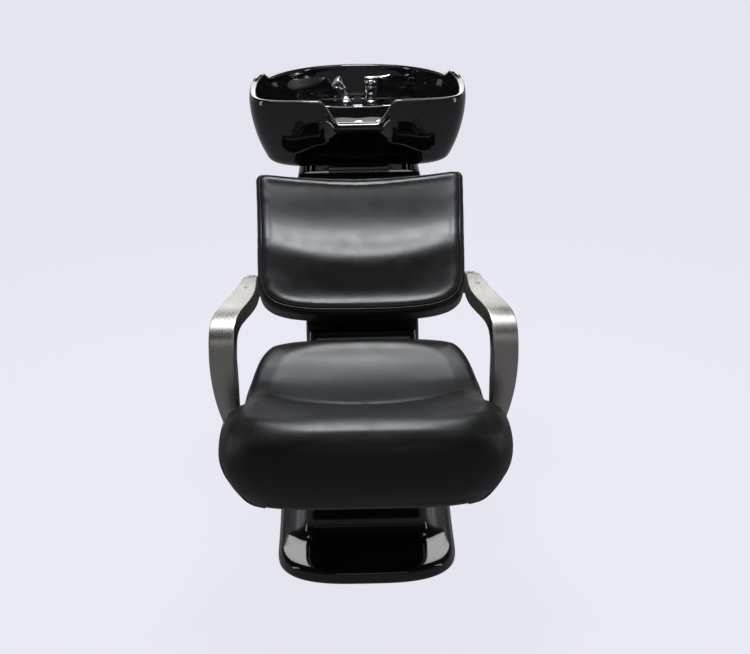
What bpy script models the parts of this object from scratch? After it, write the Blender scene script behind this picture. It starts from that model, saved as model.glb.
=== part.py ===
"""Shampoo backwash unit: moulded pedestal with an open foot, padded seat and backrest,
steel band arms, and a tilting glazed basin with mixer and hand shower.
Metres, +Z up, the sitter faces -Y. Every length below is worked out with the foot tip
at Y = 0; DY moves the whole object so that its bounding box is centred on the origin."""

import math

import bmesh
import bpy
from mathutils import Matrix, Vector

for old in list(bpy.data.objects):
    bpy.data.objects.remove(old, do_unlink=True)

# ------------------------------------------------------------------ driving dimensions
DY = -0.3845             # foot-tip frame to object frame
GAP = 0.0003             # clearance left between pieces that touch
# pedestal
FOOT_HW = 0.2015         # half width of the foot near its front
FOOT_HW_REAR = 0.2085    # half width further back
FOOT_Y1 = 0.985          # rear end of the foot
FOOT_TOP = 0.034         # height of the flat of the foot
COL_Y0, COL_HW = 0.178, 0.1425
COL_TOP = 0.250
TOWER_TOP = 0.790
REAR_Y = 0.965           # rear wall of column and tower
WALL = 0.005             # moulded shell thickness
# backrest plane: lower rear point, direction up the back, and its front normal
RECLINE = math.radians(44.0)
BU = Vector((0.0, math.sin(RECLINE), math.cos(RECLINE)))
BN = Vector((0.0, -math.cos(RECLINE), math.sin(RECLINE)))
B0 = Vector((0.0, 0.2966, 0.5098))
BACK_T = 0.055           # cushion thickness at the middle
BACK_H = 0.371           # height of the backrest along the recline
BOARD_T = 0.012
TOWER_W = -0.036         # tower front plane, measured along BN from B0
# seat
SEAT_Z = 0.300           # underside of the cushion
SEAT_BOARD = (0.2850, 0.2996)
SEAT_FRAME = (0.2606, 0.2846)
PAN = (0.2503, 0.2603)
# basin
RIM_Z = 0.975
BASIN_C = (0.0, 0.790)   # drain centre
DECK_Z = 0.905
DECK_UNDER = 0.887
DECK_EDGE = 0.912
HULL_Z = 0.800           # flat of the hull underside
BOWL_Z = 0.832           # bowl floor at the drain
DRAIN_R = 0.0200
TILT_Y, TILT_Z = 0.700, 0.780   # tilt axis
# tap and hand shower
MIX = (0.036, 0.972)
SHW = (-0.030, 0.972)

MATERIALS = {
    "moulded_black": ((0.012, 0.012, 0.013, 1), 0.12, 0.0),
    "leather_black": ((0.018, 0.018, 0.019, 1), 0.42, 0.0),
    "brushed_steel": ((0.56, 0.54, 0.51, 1), 0.30, 1.0),
    "chrome": ((0.80, 0.80, 0.81, 1), 0.06, 1.0),
    "glazed_black": ((0.006, 0.006, 0.007, 1), 0.04, 0.0),
    "painted_steel": ((0.05, 0.05, 0.055, 1), 0.45, 0.3),
    "zinc_steel": ((0.50, 0.50, 0.50, 1), 0.38, 1.0),
    "plywood": ((0.46, 0.33, 0.20, 1), 0.70, 0.0),
    "rubber_black": ((0.02, 0.02, 0.02, 1), 0.80, 0.0),
    "plastic_grey": ((0.32, 0.32, 0.33, 1), 0.45, 0.0),
    "brass": ((0.70, 0.52, 0.24, 1), 0.28, 1.0),
}


def material(name):
    found = bpy.data.materials.get(name)
    if found:
        return found
    color, rough, metal = MATERIALS[name]
    made = bpy.data.materials.new(name)
    made.use_nodes = True
    shader = made.node_tree.nodes["Principled BSDF"]
    shader.inputs["Base Color"].default_value = color
    shader.inputs["Roughness"].default_value = rough
    shader.inputs["Metallic"].default_value = metal
    made.diffuse_color = color
    return made


def make(name, verts, faces, mat, smooth=True, helper=False):
    """One object from points and faces, with its faces turned outward."""
    mesh = bpy.data.meshes.new(name)
    bm = bmesh.new()
    points = [bm.verts.new(v) for v in verts]
    for face in faces:
        bm.faces.new([points[i] for i in face])
    bmesh.ops.recalc_face_normals(bm, faces=bm.faces)
    if bm.calc_volume(signed=True) < 0:
        bmesh.ops.reverse_faces(bm, faces=bm.faces)
    bm.to_mesh(mesh)
    bm.free()
    obj = bpy.data.objects.new(name, mesh)
    bpy.context.scene.collection.objects.link(obj)
    if helper:
        obj.hide_render = True
        obj.display_type = "WIRE"
    else:
        mesh.materials.append(material(mat))
        for polygon in mesh.polygons:
            polygon.use_smooth = smooth
    return obj


def loft(rings, cap0=True, cap1=True):
    """Points and faces over rings of equal length; a ring of one point is a pole."""
    verts, faces, starts = [], [], []
    for ring in rings:
        starts.append(len(verts))
        verts.extend(Vector(p) for p in ring)
    for a in range(len(rings) - 1):
        na, nb = len(rings[a]), len(rings[a + 1])
        sa, sb = starts[a], starts[a + 1]
        n = max(na, nb)
        for i in range(n):
            j = (i + 1) % n
            if na == 1:
                faces.append((sa, sb + i, sb + j))
            elif nb == 1:
                faces.append((sa + i, sa + j, sb))
            else:
                faces.append((sa + i, sa + j, sb + j, sb + i))
    for use, k in ((cap0, 0), (cap1, len(rings) - 1)):
        n = len(rings[k])
        if use and n > 2:
            centre = sum((Vector(p) for p in rings[k]), Vector()) / n
            verts.append(centre)
            for i in range(n):
                faces.append((starts[k] + i, starts[k] + (i + 1) % n, len(verts) - 1))
    return verts, faces


def placed(verts, matrix):
    return [matrix @ Vector(v) for v in verts]


def box_geo(x0, x1, y0, y1, z0, z1):
    verts = [(x, y, z) for z in (z0, z1) for x, y in ((x0, y0), (x1, y0), (x1, y1), (x0, y1))]
    faces = [(3, 2, 1, 0), (4, 5, 6, 7), (0, 1, 5, 4), (1, 2, 6, 5), (2, 3, 7, 6), (3, 0, 4, 7)]
    return verts, faces


def bevel(obj, width, segments=2, angle=35.0):
    mod = obj.modifiers.new("edge", "BEVEL")
    mod.width = width
    mod.segments = segments
    mod.limit_method = "ANGLE"
    mod.angle_limit = math.radians(angle)
    return obj


def box(name, x0, x1, y0, y1, z0, z1, mat, edge=0.0, matrix=None, helper=False):
    verts, faces = box_geo(x0, x1, y0, y1, z0, z1)
    if matrix is not None:
        verts = placed(verts, matrix)
    obj = make(name, verts, faces, mat, smooth=False, helper=helper)
    if edge:
        bevel(obj, edge)
    return obj


def circle(r, z, n, turn=0.0):
    return [(r * math.cos(turn + 2 * math.pi * i / n), r * math.sin(turn + 2 * math.pi * i / n), z)
            for i in range(n)]


def lathe_geo(profile, n=24):
    """A turned solid from (radius, height) pairs; radius 0 makes a pole."""
    return loft([[(0, 0, z)] if r == 0 else circle(r, z, n) for r, z in profile])


def tube_geo(outer, inner, n=24):
    """A turned ring: outer profile upward, then inner profile downward, closed round."""
    rings = [circle(r, z, n) for r, z in outer] + [circle(r, z, n) for r, z in reversed(inner)]
    rings.append(rings[0])
    verts, faces = loft(rings[:-1], False, False)
    last, m = (len(rings) - 2) * n, n
    for i in range(m):
        j = (i + 1) % m
        faces.append((last + i, last + j, j, i))
    return verts, faces


def along(point, direction):
    """Matrix that takes local +Z to the direction, with its origin at the point."""
    turn = Vector(direction).normalized().to_track_quat("Z", "Y").to_matrix().to_4x4()
    return Matrix.Translation(Vector(point)) @ turn


def rod(name, r, p0, p1, mat, n=16, helper=False):
    p0, p1 = Vector(p0), Vector(p1)
    verts, faces = lathe_geo([(r, 0.0), (r, (p1 - p0).length)], n)
    return make(name, placed(verts, along(p0, p1 - p0)), faces, mat, helper=helper)


def operate(obj, other, operation="DIFFERENCE"):
    mod = obj.modifiers.new(operation.lower(), "BOOLEAN")
    mod.operation = operation
    mod.solver = "EXACT"
    mod.object = other
    return obj


def merged(name, pieces, mat, helper=False):
    """One body from boxes and other closed pieces that overlap."""
    base = make(name, *pieces[0], mat, smooth=False, helper=helper)
    for k, piece in enumerate(pieces[1:]):
        operate(base, make(f"{name}.add{k}", *piece, mat, helper=True), "UNION")
    return base


def prism_geo(outline, x0, x1):
    """An outline in (y, z) drawn out along X."""
    return loft([[(x0, y, z) for y, z in outline], [(x1, y, z) for y, z in outline]])


def smooth01(t):
    t = min(1.0, max(0.0, t))
    return t * t * (3 - 2 * t)


def curve_at(keys, t):
    """Monotone-style cubic through (t, value) keys."""
    if t <= keys[0][0]:
        return keys[0][1]
    if t >= keys[-1][0]:
        return keys[-1][1]
    slopes = []
    for i in range(len(keys)):
        if i == 0:
            m = (keys[1][1] - keys[0][1]) / (keys[1][0] - keys[0][0])
        elif i == len(keys) - 1:
            m = (keys[-1][1] - keys[-2][1]) / (keys[-1][0] - keys[-2][0])
        else:
            a = (keys[i][1] - keys[i - 1][1]) / (keys[i][0] - keys[i - 1][0])
            b = (keys[i + 1][1] - keys[i][1]) / (keys[i + 1][0] - keys[i][0])
            m = 0.0 if a * b <= 0 else 2 * a * b / (a + b)
        slopes.append(m)
    for i in range(len(keys) - 1):
        t0, v0 = keys[i]
        t1, v1 = keys[i + 1]
        if t0 <= t <= t1:
            h = t1 - t0
            s = (t - t0) / h
            return ((2 * s**3 - 3 * s**2 + 1) * v0 + (s**3 - 2 * s**2 + s) * h * slopes[i]
                    + (-2 * s**3 + 3 * s**2) * v1 + (s**3 - s**2) * h * slopes[i + 1])
    return keys[-1][1]


def resample(points, n):
    """n points evenly spaced along a closed polyline."""
    pts = [Vector(p) for p in points]
    lengths = [(pts[(i + 1) % len(pts)] - pts[i]).length for i in range(len(pts))]
    total = sum(lengths)
    out, i, walked = [], 0, 0.0
    for k in range(n):
        want = total * k / n
        while walked + lengths[i] < want:
            walked += lengths[i]
            i += 1
        out.append(pts[i].lerp(pts[(i + 1) % len(pts)], (want - walked) / lengths[i]))
    return out


# ------------------------------------------------------------------ pedestal shell
def ring_outline(y0, y1, hw, rx, ry, power, hw1=None, r1=0.03, k=7):
    """Half outline from the front middle to the rear middle, mirrored: a closed ring."""
    hw1 = hw if hw1 is None else hw1
    half = []
    for i in range(k):
        t = (math.pi / 2) * i / (k - 1)
        half.append((hw - rx + rx * math.sin(t) ** (2 / power),
                     y0 + ry - ry * max(0.0, math.cos(t)) ** (2 / power)))
    y_side = y0 + ry
    for f in (0.35, 0.70):
        y = y_side + (y1 - r1 - y_side) * f
        half.append((hw + (hw1 - hw) * smooth01(f * 1.6), y))
    for i in range(5):
        t = (math.pi / 2) * i / 4
        half.append((hw1 - r1 + r1 * math.cos(t), y1 - r1 + r1 * math.sin(t)))
    right = [(x, y) for x, y in half]
    left = [(-x, y) for x, y in reversed(half)]
    return right + left


def foot_ring(z, inset=0.0):
    return [(x, y, z) for x, y in ring_outline(
        inset - 0.0120, FOOT_Y1 - inset, FOOT_HW - inset, FOOT_HW - inset - 0.012, 0.165, 2.8,
        FOOT_HW_REAR - inset, 0.055)]


def column_ring(z, outset=0.0, rear=None, front=0.0):
    r = max(0.012, 0.026 + outset)
    rear = min(outset, 0.010) if rear is None else rear
    return [(x, y, z) for x, y in ring_outline(
        COL_Y0 - outset + front, REAR_Y + rear, COL_HW + outset, r, r, 2.0,
        COL_HW + outset, min(r, 0.026))]


def tower_front(z):
    line = B0 + BN * TOWER_W
    slope = BU.y / BU.z
    sloped = line.y + (z - line.z) * slope
    return sloped if z > 0.487 else max(0.302, min(sloped, 0.320)) if z > 0.46 else 0.302


def tower_ring(z, outset=0.0, front=None):
    hw = curve_at([(0.25, 0.1365), (0.45, 0.130), (0.55, 0.132), (0.68, 0.143), (0.76, 0.150)], z)
    r = max(0.010, 0.026 + outset)
    y0 = tower_front(z) if front is None else front
    return [(x, y, z) for x, y in ring_outline(
        y0 - outset, REAR_Y + min(outset, 0.0), hw + outset, r, r, 2.0, hw + outset, r)]


def blend_ring(a, b, f, z):
    return [(p[0] + (q[0] - p[0]) * f, p[1] + (q[1] - p[1]) * f, z) for p, q in zip(a, b)]


def shell_rings():
    outer = [
        foot_ring(0.003, 0.003), foot_ring(0.007), foot_ring(0.021), foot_ring(0.0275, 0.002),
        foot_ring(0.0320, 0.0065), foot_ring(0.0338, 0.014),
        blend_ring(foot_ring(0, 0.014), column_ring(0, 0.034), 0.55, 0.0345),
        column_ring(0.0360, 0.034), column_ring(0.0410, 0.020), column_ring(0.0520, 0.008),
        column_ring(0.0680, 0.001, 0.0), column_ring(0.0900), column_ring(0.2380),
        column_ring(0.2465, -0.002, 0.0, 0.001), column_ring(0.2495, -0.004, 0.0, 0.005),
        tower_ring(0.2500, 0.001), tower_ring(0.2580), tower_ring(0.4550), tower_ring(0.4870),
        tower_ring(0.5050), tower_ring(0.6000), tower_ring(0.7000), tower_ring(0.7780),
        tower_ring(0.7870, -0.003), tower_ring(TOWER_TOP, -0.009),
    ]
    t = WALL
    inner = [
        foot_ring(0.003, 0.010), foot_ring(0.0200, 0.010), foot_ring(0.0270, 0.013),
        foot_ring(0.0288, 0.020),
        blend_ring(foot_ring(0, 0.020), column_ring(0, 0.030, -t), 0.55, 0.0294),
        column_ring(0.0306, 0.030, -t), column_ring(0.0370, 0.015, -t), column_ring(0.0500, 0.003, -t),
        column_ring(0.0690, -0.004, -t), column_ring(0.0900, -t), column_ring(0.2340, -t),
        column_ring(0.2420, -t - 0.002, -t), column_ring(0.2444, -t - 0.004, -t, 0.004),
        tower_ring(0.2450, -t + 0.001, 0.303), tower_ring(0.2550, -t), tower_ring(0.4570, -t),
        tower_ring(0.4900, -t * 1.3), tower_ring(0.5070, -t * 1.3), tower_ring(0.6000, -t * 1.3),
        tower_ring(0.7000, -t * 1.3), tower_ring(0.7750, -t * 1.3),
        tower_ring(0.7825, -t * 1.3 - 0.003), tower_ring(TOWER_TOP - t, -t * 1.3 - 0.009),
    ]
    return outer, inner


outer, inner = shell_rings()
rings = list(reversed(inner)) + outer
shell = make("pedestal_shell", *loft(rings), "moulded_black")

# openings in the shell: rear service hole, top plumbing hole
operate(shell, box("cut_service", -0.085, 0.085, 0.92, 1.02, 0.12, 0.58, None, helper=True))
operate(shell, box("cut_top", -0.118, 0.118, 0.650, 0.940, 0.77, 0.81, None, helper=True))

PANEL_SCREWS = [(sx * 0.095, z) for sx in (-1, 1) for z in (0.115, 0.585)]
SEAT_BOLTS = [(sx * 0.085, y) for sx in (-1, 1) for y in (0.215, 0.272)]
TILT_BOLTS = [(sx * 0.095, y) for sx in (-1, 1) for y in (0.690, 0.905)]
BACK_BOLTS = [(sx * 0.055, v) for sx in (-1, 1) for v in (0.10, 0.24)]


def drill(name, r, spots, z0, z1):
    """One cutter body per hole along Z."""
    return [rod(f"{name}.{i}", r, (x, y, z0), (x, y, z1), None, 12, helper=True)
            for i, (x, y) in enumerate(spots)]


screw_holes = [rod(f"cut_panel_screw.{i}", 0.0024, (x, 0.93, z), (x, 0.99, z), None, 12, helper=True)
               for i, (x, z) in enumerate(PANEL_SCREWS)]
seat_holes = drill("cut_seat_bolt", 0.0047, SEAT_BOLTS, 0.215, 0.30)
tilt_holes = drill("cut_tilt_bolt", 0.0037, TILT_BOLTS, 0.735, 0.785)
for hole in screw_holes + seat_holes:
    operate(shell, hole)

panel = box("service_panel", -0.108, 0.108, REAR_Y + GAP, REAR_Y + GAP + 0.003, 0.098, 0.602,
            "moulded_black")
for hole in screw_holes:
    operate(panel, hole)
for i, (x, z) in enumerate(PANEL_SCREWS):
    y = REAR_Y + 2 * GAP + 0.003
    verts, faces = lathe_geo([(0, 0.0022), (0.0030, 0.0018), (0.0042, 0.0008), (0.0042, 0.0),
                              (0.0020, 0.0), (0.0020, -0.0125), (0, -0.0125)][::-1], 12)
    make(f"panel_screw_{i + 1}", placed(verts, along((x, y, z), (0, 1, 0))), faces, "zinc_steel")

for name, x, y in (("fl", -0.150, 0.110), ("fr", 0.150, 0.110),
                   ("rl", -0.168, 0.930), ("rr", 0.168, 0.930)):
    verts, faces = lathe_geo([(0.0100, 0.0), (0.0112, 0.0006), (0.0112, 0.0194), (0.0100, 0.0200)], 20)
    make(f"foot_pad_{name}", placed(verts, Matrix.Translation((x, y, 0.0))), faces, "rubber_black")

# ------------------------------------------------------------------ inner steel frame
inner_frame = merged("inner_frame", [
    box_geo(-0.110, 0.110, 0.210, 0.930, 0.0, 0.006),
    box_geo(-0.020, 0.020, 0.222, 0.262, 0.005, 0.2400),
    box_geo(-0.105, 0.105, 0.193, 0.291, 0.2380, 0.2442),
    box_geo(-0.020, 0.020, 0.890, 0.930, 0.005, 0.7610),
    box_geo(-0.112, 0.112, 0.655, 0.937, 0.7585, 0.7650),
    box_geo(-0.012, 0.012, 0.270, 0.890, 0.005, 0.0400),
], "painted_steel")
operate(inner_frame, box("cut_frame_top", -0.058, 0.058, 0.752, 0.868, 0.74, 0.79, None, helper=True))
for hole in seat_holes + tilt_holes:
    operate(inner_frame, hole)
ANCHORS = [(sx * 0.085, y) for sx in (-1, 1) for y in (0.260, 0.860)]
anchor_holes = drill("cut_anchor", 0.0056, ANCHORS, -0.02, 0.02)
for hole in anchor_holes:
    operate(inner_frame, hole)


def bolt_geo(r, head_r, head_h, length, n=12):
    """Hex-like bolt: head from z = 0 upward, shank downward."""
    rings = [[(0, 0, -length)], circle(r, -length, n), circle(r, 0.0, n), circle(head_r, 0.0, n),
             circle(head_r, head_h * 0.75, n), circle(head_r * 0.86, head_h, n), [(0, 0, head_h)]]
    return loft(rings)


def bolt(name, at, direction, r, head_r, head_h, length, mat="zinc_steel"):
    verts, faces = bolt_geo(r, head_r, head_h, length)
    return make(name, placed(verts, along(at, direction)), faces, mat, smooth=False)


# ------------------------------------------------------------------ seat support
def pan_outline(inset=0.0, k=7):
    return [(x, y) for x, y in ring_outline(-0.165 + inset, 0.296 - inset, 0.1535 - inset,
                                            0.050, 0.050, 2.2, 0.1535 - inset, 0.012, k)]


pan_rings = [[(x, y, z) for x, y in pan_outline(i)] for z, i in
             ((PAN[0], 0.005), (PAN[0] + 0.0018, 0.0014), (PAN[0] + 0.005, 0.0),
              (PAN[1] - 0.0018, 0.0014), (PAN[1], 0.005))]
pan = make("seat_underpan", *loft(pan_rings), "moulded_black")
for hole in seat_holes:
    operate(pan, hole)

OUTRIGGER = (0.050, 0.088)
seat_frame = merged("seat_frame", [
    box_geo(-0.125, 0.125, 0.190, 0.292, *SEAT_FRAME),
    box_geo(-0.125, -0.098, -0.150, 0.195, *SEAT_FRAME),
    box_geo(0.098, 0.125, -0.150, 0.195, *SEAT_FRAME),
    box_geo(-0.126, 0.126, -0.160, -0.132, *SEAT_FRAME),
    box_geo(-0.012, 0.012, -0.140, 0.195, *SEAT_FRAME),
    box_geo(-0.292, 0.292, OUTRIGGER[0], OUTRIGGER[1], *SEAT_FRAME),
], "painted_steel")
for hole in seat_holes:
    operate(seat_frame, hole)
board_outline = [(x, y) for x, y in ring_outline(-0.190, 0.238, 0.205, 0.085, 0.085, 2.0,
                                                 0.200, 0.060, 5)]
seat_board = make("seat_board", *loft([[(x, y, z) for x, y in board_outline] for z in SEAT_BOARD]),
                  "plywood", smooth=False)
bolt_wells = drill("cut_bolt_well", 0.0100, SEAT_BOLTS, 0.2840, 0.3020)
for hole in bolt_wells:
    operate(seat_board, hole)
for i, (x, y) in enumerate(SEAT_BOLTS):
    bolt(f"seat_bolt_{i + 1}", (x, y, SEAT_FRAME[1] + GAP), (0, 0, 1), 0.0044, 0.0080, 0.0060, 0.052)


# ------------------------------------------------------------------ seat cushion
SEAT_SIDE = [(-0.290, 0.0), (-0.2885, 0.083), (-0.284, 0.145), (-0.273, 0.2015), (-0.256, 0.243),
             (-0.230, 0.276), (-0.200, 0.2915), (-0.165, 0.2975), (-0.125, 0.2935), (-0.095, 0.2800),
             (-0.068, 0.2635), (-0.045, 0.2600), (-0.020, 0.2598), (0.030, 0.2605), (0.080, 0.2595),
             (0.104, 0.2560), (0.130, 0.2500), (0.155, 0.2445), (0.180, 0.2360), (0.207, 0.2220),
             (0.232, 0.1960), (0.248, 0.1630), (0.256, 0.1190), (0.260, 0.060), (0.261, 0.0)]
SEAT_TOP = [(-0.292, 0.385), (-0.275, 0.432), (-0.240, 0.462), (-0.195, 0.471), (-0.130, 0.462),
            (-0.065, 0.441), (-0.025, 0.434), (0.040, 0.440), (0.120, 0.460), (0.190, 0.486),
            (0.235, 0.500), (0.263, 0.500)]
SEAT_DROP = 0.012        # the front roll hangs this far below the board


def seat_outline(n):
    half = [(w, y, 0.0) for y, w in SEAT_SIDE]
    return resample(half + [(-x, y, 0.0) for x, y, _ in reversed(half[1:-1])], n)


def seat_rings(n=56):
    outline = seat_outline(n)
    cx, cy = 0.0, -0.02

    def ring(scale, drop, top=True):
        out = []
        for p in outline:
            x, y = cx + (p.x - cx) * scale, cy + (p.y - cy) * scale
            out.append((x, y, curve_at(SEAT_TOP, y) - drop if top else SEAT_Z + drop))
        return out

    def side(f, inset_front, inset, flat=False):
        out = []
        for p in outline:
            d = Vector((p.x - cx, p.y - cy, 0)).normalized()
            front = smooth01((-0.10 - p.y) / 0.12)
            amount = inset + (inset_front - inset) * front
            y = p.y
            top = curve_at(SEAT_TOP, min(0.22, max(-0.235, y)))
            base = SEAT_Z if flat else SEAT_Z - SEAT_DROP * smooth01((-0.205 - y) / 0.045)
            out.append((p.x - d.x * amount, p.y - d.y * amount, base + (top - base) * f))
        return out

    rings = [[(cx, cy, SEAT_Z)], ring(0.45, 0.0, False), side(0.0, 0.086, 0.030, True), side(0.0, 0.046, 0.016),
             side(0.14, 0.022, 0.006), side(0.32, 0.006, 0.001), side(0.50, 0.0, 0.0),
             side(0.68, 0.004, 0.001), side(0.83, 0.015, 0.006), side(0.94, 0.034, 0.017),
             ring(0.82, 0.0), ring(0.66, -0.0), ring(0.48, 0.0), ring(0.30, 0.0), ring(0.14, 0.0),
             [(cx, cy, curve_at(SEAT_TOP, cy))]]
    return rings


seat_cushion = make("seat_cushion", *loft(seat_rings()), "leather_black")


# ------------------------------------------------------------------ backrest
def on_back(x, v, w):
    """Point from across, up-the-back and out-of-the-front distances."""
    return Vector((x, 0, 0)) + B0 + BU * v + BN * w


# half outline, bottom middle to top middle: (half width, distance up the back)
BACK_SIDE = [(0.0, 0.000), (0.080, 0.0015), (0.137, 0.0055), (0.176, 0.0125), (0.206, 0.0245),
             (0.2245, 0.0420), (0.2340, 0.0680), (0.2375, 0.1150), (0.2397, 0.210), (0.2420, 0.285),
             (0.2438, 0.346), (0.2435, 0.3615), (0.2380, 0.3695), (0.2270, 0.3715), (0.182, 0.3680),
             (0.120, 0.3640), (0.060, 0.3615), (0.0, 0.3605)]


def back_outline(n):
    half = [(x, v, 0.0) for x, v in BACK_SIDE]
    return resample(half + [(-x, v, 0.0) for x, v, _ in reversed(half[1:-1])], n)


def back_face(x, v):
    """Height of the front face over the rear plane of the cushion."""
    across = min(1.0, abs(x) / 0.24)
    lumbar = 0.013 * math.exp(-((v - 0.150 - 0.050 * across**2) / 0.050) ** 2)
    hollow = -0.010 * math.exp(-((v - 0.250) / 0.055) ** 2) * (1 - 0.6 * across**2)
    lower = -0.007 * math.exp(-((v - 0.050) / 0.035) ** 2) * (1 - across**2)
    wings = 0.007 * across**2
    return BACK_T + lumbar + hollow + lower + wings


def back_rings(n=52):
    outline = back_outline(n)
    cx, cv = 0.0, 0.185

    def ring(scale, height=None):
        out = []
        for p in outline:
            x, v = cx + (p.x - cx) * scale, cv + (p.y - cv) * scale
            out.append(on_back(x, v, back_face(x, v) if height is None else height))
        return out

    def side(inset, f):
        out = []
        for p in outline:
            d = Vector((p.x, p.y - cv, 0)).normalized()
            x, v = p.x - d.x * inset, p.y - d.y * inset
            out.append(on_back(x, v, f * back_face(x, v)))
        return out

    return [[on_back(cx, cv, 0.0)], ring(0.5, 0.0), side(0.006, 0.0), side(0.001, 0.07),
            side(0.0, 0.30), side(0.0, 0.62), side(0.003, 0.82), side(0.010, 0.94),
            side(0.024, 1.0), ring(0.76), ring(0.60), ring(0.44), ring(0.28), ring(0.13),
            [on_back(cx, cv, back_face(cx, cv))]]


make("backrest_cushion", *loft(back_rings()), "leather_black")
board = [(p.x * 0.94, 0.185 + (p.y - 0.185) * 0.93) for p in back_outline(36)]
make("back_board", *loft([[on_back(x, v, w) for x, v in board] for w in (-GAP - BOARD_T, -GAP)]),
     "plywood", smooth=False)

BACK_FRAME = Matrix(((1, 0, 0, B0.x), (0, BU.y, BN.y, B0.y), (0, BU.z, BN.z, B0.z), (0, 0, 0, 1)))
W1 = -2 * GAP - BOARD_T
W0 = TOWER_W + GAP


def back_box(x0, x1, v0, v1, w0, w1):
    verts, faces = box_geo(x0, x1, v0, v1, w0, w1)
    return placed(verts, BACK_FRAME), faces


LUG = (0.2430, 0.2680, 0.374, 0.425, 0.5640, 0.5812)
bracket_parts = [
    back_box(-0.090, 0.090, 0.045, 0.290, W0, W1),
    back_box(-0.2660, 0.2660, 0.090, 0.114, -0.0345, -0.0145),
    box_geo(LUG[0], LUG[1], *LUG[2:]),
    box_geo(-LUG[1], -LUG[0], *LUG[2:]),
]
back_bracket = merged("back_bracket", bracket_parts, "painted_steel")

# ------------------------------------------------------------------ arms
ARM_T = 0.0100
BACK_SIGN = -1.0         # the path's own normal points below the rest and behind the front
# (y, z) along the middle of the band, with centre x and band width
ARM_PATH = [
    (0.4250, 0.5865, 0.2555, 0.0250), (0.3980, 0.5866, 0.2555, 0.0250),
    (0.3760, 0.5895, 0.2550, 0.0255), (0.3530, 0.5985, 0.2545, 0.0265),
    (0.3280, 0.6095, 0.2535, 0.0280), (0.3000, 0.6170, 0.2525, 0.0310),
    (0.2500, 0.6200, 0.2535, 0.0370), (0.1900, 0.6205, 0.2570, 0.0460),
    (0.1400, 0.6200, 0.2630, 0.0520), (0.0950, 0.6195, 0.2710, 0.0540),
    (0.0550, 0.6180, 0.2800, 0.0540), (0.0200, 0.6130, 0.2885, 0.0535),
    (-0.0080, 0.6020, 0.2935, 0.0530), (-0.0270, 0.5840, 0.2955, 0.0525),
    (-0.0370, 0.5600, 0.2960, 0.0520), (-0.0400, 0.5320, 0.2960, 0.0515),
    (-0.0395, 0.5000, 0.2945, 0.0505), (-0.0365, 0.4650, 0.2915, 0.0480),
    (-0.0310, 0.4300, 0.2870, 0.0430), (-0.0220, 0.3950, 0.2815, 0.0360),
    (-0.0100, 0.3600, 0.2775, 0.0300), (0.0040, 0.3280, 0.2760, 0.0275),
    (0.0200, 0.3040, 0.2760, 0.0270), (0.0400, 0.2925, 0.2760, 0.0270),
    (0.0620, 0.2899, 0.2760, 0.0270), (0.0900, 0.2899, 0.2760, 0.0270),
]


def arm_depth(i):
    """Extra depth behind the visible face, and how far the inner edge of the back leans inward."""
    grow = smooth01((i - 2.2) / 3.0) * (1.0 - smooth01((i - 15.5) / 5.0))
    return 0.0170 * grow, 0.0065 * grow


def arm_rings(side, path=None, corner=0.0022):
    path = path or ARM_PATH
    rings = []
    for i, (y, z, x, w) in enumerate(path):
        deep, lean = arm_depth(i)
        a = path[max(0, i - 1)]
        b = path[min(len(path) - 1, i + 1)]
        ty, tz = b[0] - a[0], b[1] - a[1]
        length = math.hypot(ty, tz)
        ny, nz = -tz / length, ty / length
        h, c = ARM_T / 2, corner
        section = []
        for sx, sn, first in ((1, 1, 0), (-1, 1, 1), (-1, -1, 0), (1, -1, 1)):
            near = [(sx * (w / 2), sn * (h - c)), (sx * (w / 2 - c), sn * h)]
            section += near if not first else near[::-1]
        full = []
        for dx, dn in section:
            back = BACK_SIGN * dn < 0
            full.append((dx - (lean if back and dx < 0 else 0.0), dn - (BACK_SIGN * deep if back else 0.0)))
        rings.append([(side * (x + dx), y + ny * dn, z + nz * dn) for dx, dn in full])
    return rings


ARM_REAR = (0.2555, 0.410)
ARM_FRONT = (0.2760, 0.0680)
for side, word in ((-1, "left"), (1, "right")):
    arm = make(f"arm_{word}", *loft(arm_rings(side)), "brushed_steel")
    rear_hole = rod(f"cut_arm_rear_{word}", 0.0034, (side * ARM_REAR[0], ARM_REAR[1], 0.55),
                    (side * ARM_REAR[0], ARM_REAR[1], 0.61), None, 12, helper=True)
    front_hole = rod(f"cut_arm_front_{word}", 0.0043, (side * ARM_FRONT[0], ARM_FRONT[1], 0.25),
                     (side * ARM_FRONT[0], ARM_FRONT[1], 0.31), None, 12, helper=True)
    operate(arm, rear_hole)
    operate(arm, front_hole)
    operate(back_bracket, rear_hole)
    operate(seat_frame, front_hole)
    bolt(f"arm_rear_bolt_{word}", (side * ARM_REAR[0], ARM_REAR[1], 0.5915 + GAP), (0, 0, 1),
         0.0031, 0.0070, 0.0040, 0.024)
    bolt(f"arm_front_bolt_{word}", (side * ARM_FRONT[0], ARM_FRONT[1], 0.2949 + GAP), (0, 0, 1),
         0.0040, 0.0080, 0.0048, 0.036)
    # oval plug let into the top of the armrest
    py, pz, px = 0.2060, 0.6255, 0.2562
    oval = [(0.0052, 0.0085), (0.0052, 0.0085)]
    plug_cut = make(f"cut_plug_{word}", *loft([
        [(side * px + 0.0062 * math.cos(a), py + 0.0112 * math.sin(a), z)
         for a in [2 * math.pi * k / 20 for k in range(20)]] for z in (pz - 0.0035, pz + 0.01)]),
        None, helper=True)
    operate(arm, plug_cut)
    make(f"arm_plug_{word}", *loft([
        [(side * px + (0.0062 - g) * math.cos(a), py + (0.0112 - g) * math.sin(a), z)
         for a in [2 * math.pi * k / 20 for k in range(20)]]
        for z, g in ((pz - 0.0035 + GAP, 0.0003), (pz - 0.0007, 0.0003), (pz + 0.0001, 0.0012))]),
        "plastic_grey")

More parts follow.
